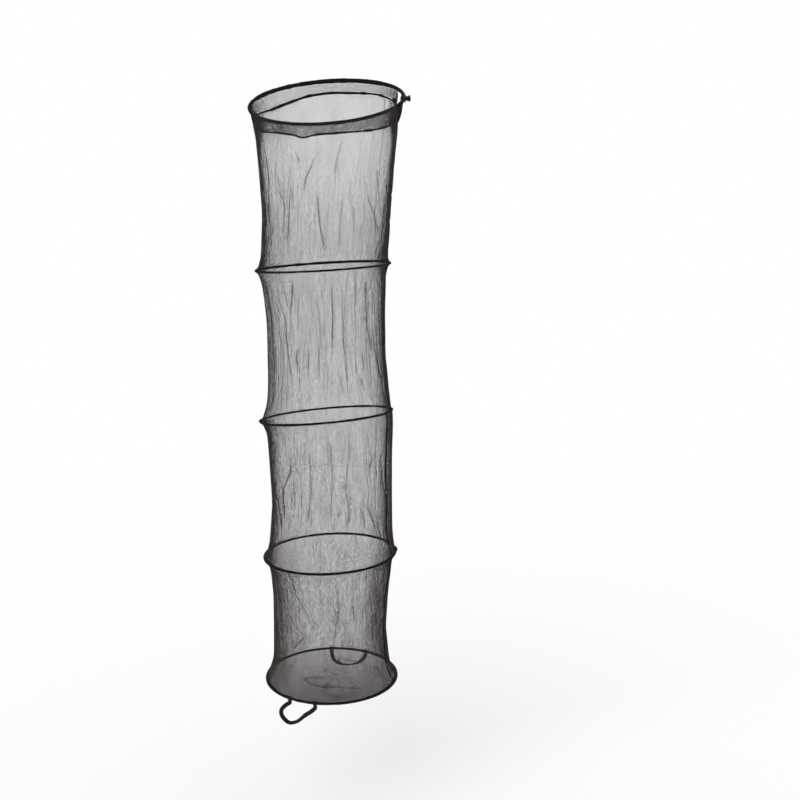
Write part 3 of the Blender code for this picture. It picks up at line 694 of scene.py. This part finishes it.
# Zinc plate, bright and a little clouded
zinc_plate, tree, shader, where = start_material("zinc-plated steel screw", {"Metallic": 1.0})
spangle = patches(tree, where, 0.0012, 4.0, 0, 1)
colour = add(tree, "Mix", {"Factor": spangle, 6: linear("#8d9095"), 7: linear("#b9babb")},
             data_type="RGBA")
tree.links.new(colour.outputs[2], shader.inputs["Base Color"])
rough = add(tree, "MapRange", {"Value": spangle, "To Min": 0.22, "To Max": 0.42})
tree.links.new(rough.outputs[0], shader.inputs["Roughness"])


def paint(node, material):
    """Gives one of the part's own solids, which shows as it is, its material."""
    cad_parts[node].data.materials.clear()
    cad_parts[node].data.materials.append(material)


paint("connector_block", moulded_nylon)
paint("lock_nut", moulded_nylon)
paint("bank_stick_stud", stud_brass)


def apply_modifiers(thing):
    """Applies a piece's modifiers in their order."""
    bpy.ops.object.select_all(action="DESELECT")
    thing.select_set(True)
    bpy.context.view_layer.objects.active = thing
    for modifier in list(thing.modifiers):
        bpy.ops.object.modifier_apply(modifier=modifier.name)


screw_head_radius = 0.0028
screw_head_height = 0.0018
screw_shank_radius = 0.0015
screw_seat = 0.0068
screw_off = 0.010
for number, side in enumerate((-1, 1), 1):
    bpy.ops.mesh.primitive_cylinder_add(
        vertices=32, radius=screw_head_radius, depth=screw_head_height,
        location=(0, 0, screw_seat + screw_head_height / 2),
    )
    head = bpy.context.object
    head.name = f"cross_head_screw_{number}"
    bpy.ops.object.transform_apply(location=True, rotation=True, scale=True)
    bpy.ops.object.mode_set(mode="EDIT")
    bpy.ops.mesh.select_all(action="DESELECT")
    shape = bmesh.from_edit_mesh(head.data)
    for edge in shape.edges:
        edge.select = all(v.co.z > screw_seat + screw_head_height * 0.9 for v in edge.verts)
    bmesh.update_edit_mesh(head.data)
    bpy.ops.mesh.bevel(offset=0.0006, segments=3, affect="EDGES")
    bpy.ops.mesh.select_all(action="DESELECT")
    shape = bmesh.from_edit_mesh(head.data)
    for face in shape.faces:
        face.select = face.normal.z < -0.9
    bmesh.update_edit_mesh(head.data)
    bpy.ops.mesh.inset(thickness=screw_head_radius - screw_shank_radius, depth=0)
    bpy.ops.mesh.extrude_region_move(TRANSFORM_OT_translate={"value": (0, 0, -0.0022)})
    bpy.ops.object.mode_set(mode="OBJECT")
    for turn in (0, 90):
        bpy.ops.mesh.primitive_cube_add(
            size=1, scale=(0.0030, 0.0007, 0.0016), rotation=(0, 0, math.radians(turn + 20 * number)),
            location=(0, 0, screw_seat + screw_head_height),
        )
        slot_tool = bpy.context.object
        recess = head.modifiers.new("recess", "BOOLEAN")
        recess.object = slot_tool
        apply_modifiers(head)
        bpy.data.objects.remove(slot_tool)
    bpy.ops.object.shade_smooth_by_angle(angle=math.radians(35))
    settle(head, mouth @ Matrix.Translation((mouth_radius, side * screw_off, 0)))
    dress(head, zinc_plate, f"rod_end_screw_{number}")
    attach(head, "mouth")


# Lower hoops: 5 mm rods, 6 mm in the base, each in a casing of the same cloth as the sleeve. The
# casing's edges are sewn together inside the hoop, and the nets are whipped to it with thread.

ring_radius = 0.225
casing_wall = 0.001
lip_length = 0.0040
whip_spacing = 0.0085
whip_radius = 0.0004
hoop_steps = 480
lap_steps = 41
hoops = {}
for name, tilt, nod, casing_radius, laps in (
    ("ring_2", 3.9, 0.7, 0.0040, ((0, 0.0056),)),
    ("ring_3", 4.7, 0, 0.0040, ((180, 0.0068), (0, 0.0054))),
    ("ring_4", 1.55, 1.5, 0.0042, ((0, 0.0085),)),
    ("base", -0.65, -0.2, 0.0045, ()),
):
    rod = "base_ring" if name == "base" else name
    low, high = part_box(rod)
    place = Matrix.LocRotScale((low + high) / 2, Euler((math.radians(nod), -math.radians(tilt), 0)), None)
    hoops[name] = place
    paint(rod, dipped_steel)
    casing = grid_piece(f"{name}_cloth_casing", casing_rings(
        place, ring_radius, np.linspace(0, math.tau, hoop_steps, endpoint=False),
        folded_section(casing_radius, casing_wall, lip_length, math.pi), casing_radius - casing_wall / 2,
        31 + len(hoops), 0.00022,
    ), closed=True)
    dress(casing, casing_cloth, f"{name}_casing")
    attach(casing, name)

    # Where a casing's ends meet, they are lapped over each other and sewn down in a lump
    for number, (degrees, lap_radius) in enumerate(laps, 1):
        along = np.linspace(-1, 1, lap_steps)
        lap_turn = math.radians(degrees) + along * (0.006 + lap_radius) / ring_radius
        lap_section = folded_section(lap_radius, lap_radius - casing_radius - clearance, 0.0, math.pi)
        tapered = lap_section[None] * (1 - 0.3 * np.abs(along) ** 4)[:, None, None]
        least = casing_radius + 2 * clearance
        tapered = tapered * np.maximum(1, least / np.linalg.norm(tapered, axis=2, keepdims=True))
        rings = round_hoop(place, ring_radius, lap_turn[:, None], tapered[..., 0], tapered[..., 1])
        lap = grid_piece(f"{name}_casing_lap_{number}", rings)
        dress(lap, casing_cloth)
        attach(lap, name)

    whips = round(math.tau * ring_radius / whip_spacing)
    rng = np.random.default_rng(50 + len(hoops))
    turn = ((np.arange(whips) + rng.normal(size=whips) * 0.08) * math.tau / whips)[:, None]
    over = np.radians(np.linspace(112, -112, 9))
    lean = np.linspace(-0.0011, 0.0011, 9) / ring_radius
    reach = casing_radius + 0.00045
    paths = round_hoop(place, ring_radius, turn + lean, reach * np.cos(over), reach * np.sin(over))
    outward = paths - round_hoop(place, ring_radius, turn + lean, 0, 0)
    sew(f"{name}_whipping", paths, outward, name, whip_radius)


# The four bays: tubes of the same netting from the hem to the base hoop, drawn in at the waist and
# hung in soft folds. Sharp creases run down them where the cloth was packed and gathered.

edge_inset = 0.0012
net_edge = 0.0038 + 0.0006
base_net_edge = 0.0043 + 0.0028
net_round = 1.46
fold_drift = math.radians(35)
crease_width = 0.0026
crease_yarn_width = 0.0035
seam_width = 0.009
seam_thickness = 0.0026
seam_lift = 0.0018


def hem_edge(angle):
    """The hem's lower edge, where the top bay begins."""
    depth = hem_depth(angle) + 2 * hem_top + hem_height
    return round_mouth(angle, mouth_net_radius(angle, depth), depth)


def hoop_edge(name, height):
    """The edge of a net at a hoop, at a height over its rod, as a function of the angle."""
    def edge(angle):
        return round_hoop(hoops[name], ring_radius, angle, -edge_inset, height)
    return edge


def drawn_in(share, side_shares):
    """The share of a waist at each share of the way down, rounded where its table has corners."""
    window = np.minimum(0.05, np.minimum(share, 1 - share))
    around = [np.interp(share + window * off, row_shares, side_shares) for off in (-1, -0.5, 0, 0.5, 1)]
    return sum(around) / 5


def crease_lines(creases, angle, share, width):
    """How deep the creases are at an angle and a share, in millimetres."""
    total = 0 * angle * share
    for depth, *route in creases:
        shares, degrees = np.array(route).T
        at = np.radians(np.interp(share, shares, degrees))
        off = np.abs((angle - at + math.pi) % math.tau - math.pi) * ring_radius
        begun = np.clip((share - shares[0]) / 0.06 + 0.2, 0, 1)
        ends = np.clip((shares[-1] - share) / 0.06 + 0.2, 0, 1)
        total = total + begun * ends * depth * np.exp(-off / width)
    return total


def small_creases(rng, count=44):
    """Short creases all round a bay, each a little off the upright."""
    for start, length, degrees, lean, depth in rng.random((count, 5)):
        start, length = 0.04 + 0.8 * start, 0.08 + 0.16 * length
        degrees, lean = 360 * degrees, 14 * lean - 7
        middle = (start + length / 2, degrees + lean * 0.7)
        yield 1.5 + 4.5 * depth ** 2, (start, degrees), middle, (start + length, degrees + lean)


def bay_surface(bay):
    """The net's surface as a function of the angle round it and the share of the way down."""
    rng = np.random.default_rng(bay["seed"])
    wander = smooth_noise(rng, 3, 46)
    fine = smooth_noise(rng, 4, 84)
    gather = smooth_noise(rng, 3, 150)

    def surface(angle, share):
        angle, share = np.broadcast_arrays(angle, share)
        pull = 1 - np.abs(2 * share - 1) ** 5
        left, right = (
            waist * drawn_in(share, shares) for waist, shares in zip(bay["waists"], bay["side_shares"])
        )
        inward = left + (right - left) * (1 + np.cos(angle)) / 2
        wave = (1 + np.cos(bay["folds"] * angle + bay["phase"] + fold_drift * share)) / 2
        lines = np.exp(-np.abs(wander(share, angle)) / 0.06) - 0.08
        small = np.exp(-np.abs(fine(share, angle)) / 0.12) - 0.12
        crumpled = bay["crumple"] * (0.005 * lines + 0.002 * small)
        inward = inward + pull * (bay["fold_depth"] * wave + crumpled)
        edge_off = np.minimum(share, 1 - share)
        gathers = 0.0012 * gather(share, angle) * np.exp(-edge_off / 0.05)
        inward = inward + gathers * np.minimum(1, 60 * edge_off)
        inward = inward + pull * crease_lines(bay["creases"], angle, share, crease_width) / 1000
        hung = bay["upper"](angle) * (1 - share)[..., None] + bay["lower"](angle) * share[..., None]
        return hung - outward_at(angle) * inward[..., None]

    return surface


# Yarn is given in millimetres by the share of the way down, and is heavier where the cloth is gathered.
# A crease has its depth in millimetres, and then its route in shares of the way down and in degrees.
row_shares = (0, 0.03, 0.12, 0.33, 0.62, 0.86, 0.97, 1)
bays = {
    "bay_1": {
        "above": "mouth", "below": "ring_2", "upper": hem_edge, "lower": hoop_edge("ring_2", net_edge),
        "waists": (0.018, 0.014),
        "side_shares": ((0, -0.3, -0.1, 0.4, 1, 0.8, 0.6, 0), (0, -0.5, -0.85, -0.5, -0.15, 0, 0.4, 0)),
        "fold_depth": 0.008, "folds": 8, "phase": 0, "crumple": 0.6, "bunching": 0.5, "seed": 101,
        "near_yarn": ((0, 0.84), (0.14, 0.80), (0.24, 0.50), (0.5, 0.56), (0.75, 0.64), (1, 0.66)),
        "far_yarn": ((0, 0.455), (0.25, 0.47), (0.5, 0.56), (0.75, 0.64), (1, 0.66)),
        "side_yarn": (0.5, 2.0), "crease_yarn": 0.10, "seam": (352, 346),
        "creases": (
            (8, (0.29, 245), (0.41, 249)), (9, (0.35, 261), (0.42, 257), (0.48, 253), (0.56, 252)),
            (8, (0.57, 263), (0.76, 266), (0.93, 271)), (9, (0.54, 239), (0.70, 237), (0.87, 237)),
            (7, (0.46, 50), (0.61, 39), (0.79, 28)), (8, (0.61, 329), (0.87, 328), (0.97, 319)),
            (8, (0.22, 210), (0.42, 212), (0.64, 208), (0.88, 215)),
            (5, (0.58, 284), (0.77, 283), (0.93, 283)), (5, (0.49, 223), (0.60, 232), (0.80, 230)),
            (5, (0.65, 293), (0.84, 296), (0.97, 294)), (5, (0.42, 315), (0.61, 321), (0.70, 316)),
        ),
    },
    "bay_2": {
        "above": "ring_2", "below": "ring_3", "upper": hoop_edge("ring_2", -net_edge),
        "lower": hoop_edge("ring_3", net_edge), "waists": (0.028, 0.012),
        "side_shares": ((0, 0.35, 0.65, 1, 1, 0.85, 0.35, 0), (0, 0.75, 0.6, 0.95, 1, 0.3, 0, 0)),
        "fold_depth": 0.011, "folds": 8, "phase": math.radians(50), "crumple": 1.0, "bunching": 0.5,
        "seed": 102, "near_yarn": ((0, 0.66), (0.5, 0.64), (1, 0.60)),
        "far_yarn": ((0, 0.66), (0.5, 0.64), (1, 0.60)),
        "side_yarn": (0, 1.7), "crease_yarn": 0.12, "seam": (346, 346),
        "creases": (
            (8, (0.08, 242), (0.28, 238)), (7, (0.36, 226), (0.52, 231), (0.69, 235)),
            (9, (0.49, 245), (0.58, 241), (0.67, 244)), (7, (0.53, 254), (0.70, 253)),
            (8, (0.11, 312), (0.44, 315), (0.58, 319)), (8, (0.57, 308), (0.71, 310)),
            (8, (0.73, 304), (0.83, 308)), (7, (0.58, 323), (0.82, 331), (0.96, 338)),
            (5, (0.13, 276), (0.35, 278), (0.51, 276)), (5, (0.23, 289), (0.49, 287), (0.78, 290)),
            (5, (0.22, 264), (0.44, 266), (0.73, 262)),
        ),
    },
    "bay_3": {
        "above": "ring_3", "below": "ring_4", "upper": hoop_edge("ring_3", -net_edge),
        "lower": hoop_edge("ring_4", net_edge), "waists": (0.022, 0.006),
        "side_shares": ((0, 0.5, 0.65, 0.8, 1, 0.55, 0.4, 0), (0, -1, -1, 0, 0.65, 1, 0.3, 0)),
        "fold_depth": 0.011, "folds": 7, "phase": math.radians(110), "crumple": 0.6, "bunching": 0.5,
        "seed": 103, "near_yarn": ((0, 0.67), (0.5, 0.67), (1, 0.74)),
        "far_yarn": ((0, 0.67), (0.5, 0.67), (1, 0.74)),
        "side_yarn": (1.4, 0.5), "crease_yarn": 0.12, "seam": (331, 338),
        "creases": (
            (9, (0.29, 234), (0.45, 222), (0.53, 221), (0.67, 222)), (7, (0.26, 312), (0.39, 308)),
            (7, (0.27, 322), (0.45, 328), (0.61, 340)), (8, (0.59, 306), (0.70, 312), (0.81, 317)),
            (9, (0.43, 187), (0.54, 212), (0.75, 219)), (5, (0.11, 272), (0.39, 274), (0.66, 270)),
            (5, (0.16, 290), (0.47, 286), (0.71, 290)), (5, (0.17, 254), (0.45, 254), (0.69, 249)),
        ),
    },
    "bay_4": {
        "above": "ring_4", "below": "base", "upper": hoop_edge("ring_4", -net_edge),
        "lower": hoop_edge("base", base_net_edge), "waists": (0.025, 0.034),
        "side_shares": ((0, 0.4, 0.75, 1, 0.95, 0.85, 0.3, 0), (0, 0.3, 0.4, 0.75, 1, 0.7, 0.5, 0)),
        "fold_depth": 0.010, "folds": 6, "phase": math.radians(200), "crumple": 0.25, "bunching": 0.3,
        "seed": 104, "near_yarn": ((0, 0.79), (1, 0.85)), "far_yarn": ((0, 0.79), (1, 0.85)),
        "side_yarn": (0.3, 0.3), "crease_yarn": 0.05, "seam": (342, 340),
        "creases": (
            (9, (0.10, 202), (0.32, 198), (0.52, 202)), (8, (0.03, 230), (0.20, 235), (0.41, 249)),
            (8, (0.51, 244), (0.66, 228)), (9, (0.54, 196), (0.59, 213), (0.62, 228)),
            (7, (0.09, 315), (0.25, 324)), (5, (0.20, 289), (0.45, 294)), (8, (0.31, 304), (0.42, 302)),
            (5, (0.06, 274), (0.31, 277), (0.55, 272)),
        ),
    },
}
for name, bay in bays.items():
    bay["creases"] += tuple(small_creases(np.random.default_rng(bay["seed"] + 900)))
    surface = bay_surface(bay)
    low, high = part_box(name + "_net")
    tall = high.z - low.z
    rows = round((tall - 0.03) / opening_down)
    columns = 2 * round(net_round / opening_across / 2)
    rng = np.random.default_rng(bay["seed"] + 50)
    knots, turned, share = knot_grid(surface, rows, columns, rng, bay["bunching"])
    heavier = 1 + 0.06 * smooth_noise(rng, 9, 90)(share, turned)
    heavier = heavier + bay["crease_yarn"] * crease_lines(bay["creases"], turned, share, crease_yarn_width)
    for side, more in zip((-1, 1), bay["side_yarn"]):
        heavier = heavier + more * np.maximum(0, side * np.cos(turned)) ** 10
    held_by = "collar_hem_tape" if name == "bay_1" else bay["above"] + "_cloth_casing"
    # The two halves' yarns run into each other at the sides
    near_yarn, far_yarn = (np.interp(share, *np.array(bay[half + "_yarn"]).T) for half in ("near", "far"))
    towards_near = np.clip(0.5 - 1.5 * np.sin(turned), 0, 1)
    bay_yarn = (far_yarn + (near_yarn - far_yarn) * towards_near) / 1000 * heavier
    for title, first in (("near", 0), ("far", columns // 2)):
        taken = np.arange(first, first + columns // 2 + 1) % columns
        yarn = bay_yarn[:, taken]
        panel = yarn_net(f"{name}_{title}", knots[:, taken], yarn)
        dress(panel, netting, name + "_net")
        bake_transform(panel)

    # The tube is closed by a rolled seam under binding tape, which runs down its right side
    seam_share = np.linspace(0.004, 0.996, 120)
    seam_at = np.radians(np.interp(seam_share, (0, 1), bay["seam"]) + 1.2 * np.sin(seam_share * 13))
    middle, outward = surface(seam_at, seam_share), outward_at(seam_at)
    sideways = np.stack((-np.sin(seam_at), np.cos(seam_at), 0 * seam_at), axis=-1)
    seam = grid_piece(f"{name}_seam_tape", np.stack([
        middle + outward * (seam_lift + out * seam_thickness / 2) + sideways * wide * seam_width / 2
        for wide, out in zip(soft_box_out, soft_box_up)
    ], axis=1))
    dress(seam, hem_tape)
    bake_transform(seam)


# Corner webs: spare netting that was gathered at the sides of the mouth when the net was sewn. It
# hangs in tight pleats from the mouth ring's ends and its other side, outside the hem, to the net.

web_top = 0.0066
web_under_block = 0.0090
web_inset = 0.001
web_off_net = 0.002
web_reach = 0.24
web_yarn_apart = 0.0030
pleat_height = 0.0018
top_bay = bay_surface(bays["bay_1"])
for title, inner, outer, foot, bulge, closing, held_by in (
    ("right", 26, 2, 0.055, 0.004, 2.5, "rod_end_tube_2"),
    ("left", 149, 183, 0.19, -0.004, 1.2, "mouth_sleeve_cloth"),
):
    span = abs(math.radians(outer - inner))
    out_share = np.linspace(0, 1, round(span * web_reach / web_yarn_apart))
    share = np.linspace(0, 1, round((0.05 + 0.45 * foot) / opening_down))[:, None]
    # It narrows towards its foot and the mouth's side
    angle = np.radians(outer + (inner - outer) * (1 - out_share) * (1 - 0.65 * share ** 1.5))
    depth = np.where(np.degrees(angle) < 6, web_under_block, web_top)
    ring_side = round_mouth(angle, mouth_radius - web_inset, depth)
    outward = outward_at(angle)
    net_side = top_bay(angle, foot) + outward * web_off_net
    pleats = pleat_height * np.sin(angle * 90 + 2 * np.sin(angle * 23)) + bulge
    knots = ring_side + (net_side - ring_side) * share[..., None]
    knots = knots + outward * (np.sin(math.pi * share) * pleats)[..., None]
    # The pleats lie closest at the mouth's very side
    closeness = 0.25 + 0.75 * np.minimum(1, out_share * closing)
    clumps = 1 + 0.30 * np.sin(angle * 61 + 5 * share) + 0.20 * np.sin(angle * 23 - 19 * share)
    yarn = (0.0021 - 0.0016 * share ** 2) * closeness * clumps
    web = yarn_net(f"corner_web_{title}", knots, yarn)
    dress(web, netting)
    flat = (web_reach * span * 1.5, 0.04 + 0.5 * foot)
    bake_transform(web)


# Base net: a round of the same netting sewn in the base hoop. It sags a little, and the cloth that
# is left over from gathering it lies in curved folds.

base_net_radius = 0.2168
base_sag = 0.010
base_fold = 0.0015
base_yarn = ((-0.22, 1.2), (0, 0.98), (0.22, 0.72))
across = np.arange(-base_net_radius - opening_across, base_net_radius + opening_across * 2, opening_across)
back = np.arange(-base_net_radius - opening_down, base_net_radius + opening_down * 2, opening_down)
across, back = np.meshgrid(across, back[::-1])
reach = np.hypot(across, back)
pulled = np.minimum(1, base_net_radius / np.maximum(reach, 1e-6))
across, back = across * pulled, back * pulled
out_share = np.minimum(reach / base_net_radius, 1)
creased = smooth_noise(np.random.default_rng(7), 5, 9)(out_share, np.arctan2(back, across))
folded = np.exp(-np.abs(creased) / 0.15) * (1 - out_share ** 4)
height = -base_sag * (1 - out_share ** 2) + base_fold * folded
knots = moved(hoops["base"], np.stack((across, back, height), axis=-1))
yarn = np.interp(back, *np.array(base_yarn).T) / 1000 * (1 + 0.35 * folded)
base_net = yarn_net("base_netting", knots, yarn, kept=reach < base_net_radius + opening_across * 0.7)
dress(base_net, netting, "base_net")
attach(base_net, "base")


# Handles: loops of 14 mm polypropylene webbing for lifting and emptying the net. Each end is folded
# round the base casing and sewn, and one end of the loop is doubled back and box-stitched.

webbing_width = 0.014
webbing_thickness = 0.0016
doubled_thickness = 0.0028
wrap_inner = 0.00513
wrap_outer = 0.00673
wrap_radius = 0.22457
hinge_depth = 0.00783
box_half_width = 0.0045

# Close-woven and dull, with a faint chevron: warp ridges 1.1 mm apart, crossed by the weft every 1.6 mm
webbing, tree, shader, where = start_material(
    "polypropylene webbing, black", {"Roughness": 0.7, "Specular IOR Level": 0.2},
)
ridges = add(tree, "Mapping", {"Vector": where.outputs["UV"], "Scale": (1, 14 * 2.2 / 1.1, 1)})
picks = add(tree, "Mapping", {"Vector": where.outputs["UV"], "Scale": (100 / 1.6, 0, 1)})
ridges = add(tree, "TexWave", {"Vector": ridges.outputs[0], "Scale": 1 / 6.2832}, bands_direction="Y")
picks = add(tree, "TexWave", {"Vector": picks.outputs[0], "Scale": 1 / 6.2832}, bands_direction="X")
weave = add(tree, "Math", {0: ridges.outputs["Fac"], 1: picks.outputs["Fac"]}, operation="MULTIPLY")
coat(tree, shader, patches(tree, where, 0.012, 5.0, 0.3, 0.7), ("#0a090a", "#161415"),
     weave.outputs[0], 0.7, 0.0004)


def smooth_route(points, steps):
    """Points spaced along a smooth curve through the given ones."""
    points = np.asarray(points, float)
    ends = np.concatenate(([2 * points[0] - points[1]], points, [2 * points[-1] - points[-2]]))
    spans = len(points) - 1
    along = np.linspace(0, spans, steps + 1)
    span = np.minimum(along.astype(int), spans - 1)
    t = (along - span)[:, None]
    a, b, c, d = (ends[span + offset] for offset in range(4))
    return (b * 2 + (c - a) * t + (a * 2 - b * 5 + c * 4 - d) * t ** 2 + (b * 3 - a - c * 3 + d) * t ** 3) / 2


def strap_frames(route, across, twist):
    """The width and thickness directions of a strap along its route."""
    along = np.gradient(route, axis=0)
    along /= np.linalg.norm(along, axis=1, keepdims=True)
    side = np.cross(along, across)
    side /= np.linalg.norm(side, axis=1, keepdims=True)
    wide = side * np.cos(twist)[:, None] + across * np.sin(twist)[:, None]
    thick = np.cross(along, wide)
    return wide, thick / np.linalg.norm(thick, axis=1, keepdims=True)


def strap(name, route, across, twist, thickness, node, body):
    """Webbing along a route, flat with soft edges."""
    wide, thick = strap_frames(route, across, twist)
    edge = webbing_width / 2 - webbing_thickness / 2
    outline = []
    for side in (1, -1):
        outline += [(edge * share, 0.5 * side) for share in np.linspace(side, -side, 8)]
        outline += [(-side * (edge + webbing_thickness * out), up * side)
                    for out, up in ((0.35, 0.35), (0.5, 0), (0.35, -0.35))]
    rings = np.stack([route + wide * w + thick * (h * thickness)[:, None] for w, h in outline], axis=1)
    piece = grid_piece(name, rings)
    dress(piece, webbing, node)
    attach(piece, body)


def between(rows, places):
    """Points read between the rows of an array, at places along it."""
    return np.stack([np.interp(places, np.arange(len(rows)), column) for column in rows.T], axis=-1)


for title, at, half, drop, twist, strap_shares, tab_shares in (
    ("near_handle", 243.5, 12, 0.077, 62,
     ((-1, 0), (-1, 0.10), (-1.36, 0.27), (-1.67, 0.52), (-1.57, 0.79), (-1.05, 0.99), (-0.40, 0.86),
      (0.22, 0.52), (0.62, 0.34)),
     ((1, 0), (1, 0.09), (0.87, 0.20), (0.52, 0.39))),
    ("far_handle", 73, 17, 0.050, 52,
     ((-1, 0), (-1, 0.16), (-0.90, 0.37), (-0.67, 0.66), (-0.32, 0.90), (0.08, 1.0), (0.45, 0.98),
      (0.84, 0.76)),
     ((1, 0), (1, 0.16), (0.98, 0.36), (0.84, 0.78))),
):
    at, half, twist = math.radians(at), math.radians(half), math.radians(twist)
    turned = np.array(hoops["base"].to_3x3())
    outward = turned @ (math.cos(at), math.sin(at), 0)
    chordwise = turned @ (-math.sin(at), math.cos(at), 0)
    down = turned @ (0, 0, -1)
    hinge = np.array(hoops["base"].translation) + outward * wrap_radius * math.cos(half) + down * hinge_depth
    half_chord = wrap_radius * math.sin(half)
    line, doubled = (
        smooth_route([hinge + chordwise * half_chord * t + down * drop * d for t, d in shares], steps)
        for shares, steps in ((strap_shares, 72), (tab_shares, 24))
    )
    # The strap lies broad on its first leg, and turns on edge round the bottom of the loop
    turn = twist * np.sin(math.pi * np.linspace(0, 1, len(line)) ** 1.5) ** 2
    strap(f"{title}_webbing", line, outward, turn, np.full(len(line), webbing_thickness), title, title)

    flat = np.zeros(len(doubled))
    swell = webbing_thickness + doubled_thickness * np.minimum(1, np.linspace(0, 2, len(doubled)))
    strap(f"{title}_doubled_end", doubled, outward, flat, swell, f"{title}_tab", title)
    wide, thick = strap_frames(doubled, outward, flat)
    paths, normals = [], []
    for face in (1, -1):
        for first, second in zip(
            ((-1, 0.3), (1, 0.3), (1, 0.9), (-1, 0.9), (-1, 0.3), (1, 0.3)),
            ((1, 0.3), (1, 0.9), (-1, 0.9), (-1, 0.3), (1, 0.9), (-1, 0.9)),
        ):
            spots = stitched_line(first, second, 4)
            places = spots[..., 1] * (len(doubled) - 1)
            normal = between(thick, places)
            lift = between(swell[:, None], places)[..., 0] / 2 + stitch_arch(0.0002)
            sideways = between(wide, places) * spots[..., :1] * box_half_width
            paths.append(between(doubled, places) + sideways + normal * (face * lift)[..., None])
            normals.append(normal * face)
    sew(f"{title}_box_stitches", np.concatenate(paths), np.concatenate(normals), title)

    half_wrap = webbing_width / 2 / ring_radius
    edge = 1 - 0.6 * np.abs(np.linspace(-1, 1, 15)) ** 12
    turn = np.linspace(math.pi - 0.30, -math.pi + 0.30, 25)
    outer = np.stack((np.cos(turn), np.sin(turn)), 1)
    inner = np.broadcast_to(outer[::-1] * wrap_inner, (15, 25, 2))
    grown = wrap_inner + (wrap_outer - wrap_inner) * edge
    section = np.concatenate((outer[None] * grown[:, None, None], inner), axis=1)
    for number, middle in enumerate((at - half, at + half), 1):
        wrap_turn = np.linspace(middle - half_wrap, middle + half_wrap, 15)
        rings = round_hoop(hoops["base"], wrap_radius, wrap_turn[:, None], section[..., 0], section[..., 1])
        fold = grid_piece(f"{title}_fold_{number}", rings)
        dress(fold, webbing, f"{title}_wrap_{number}")
        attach(fold, "base")
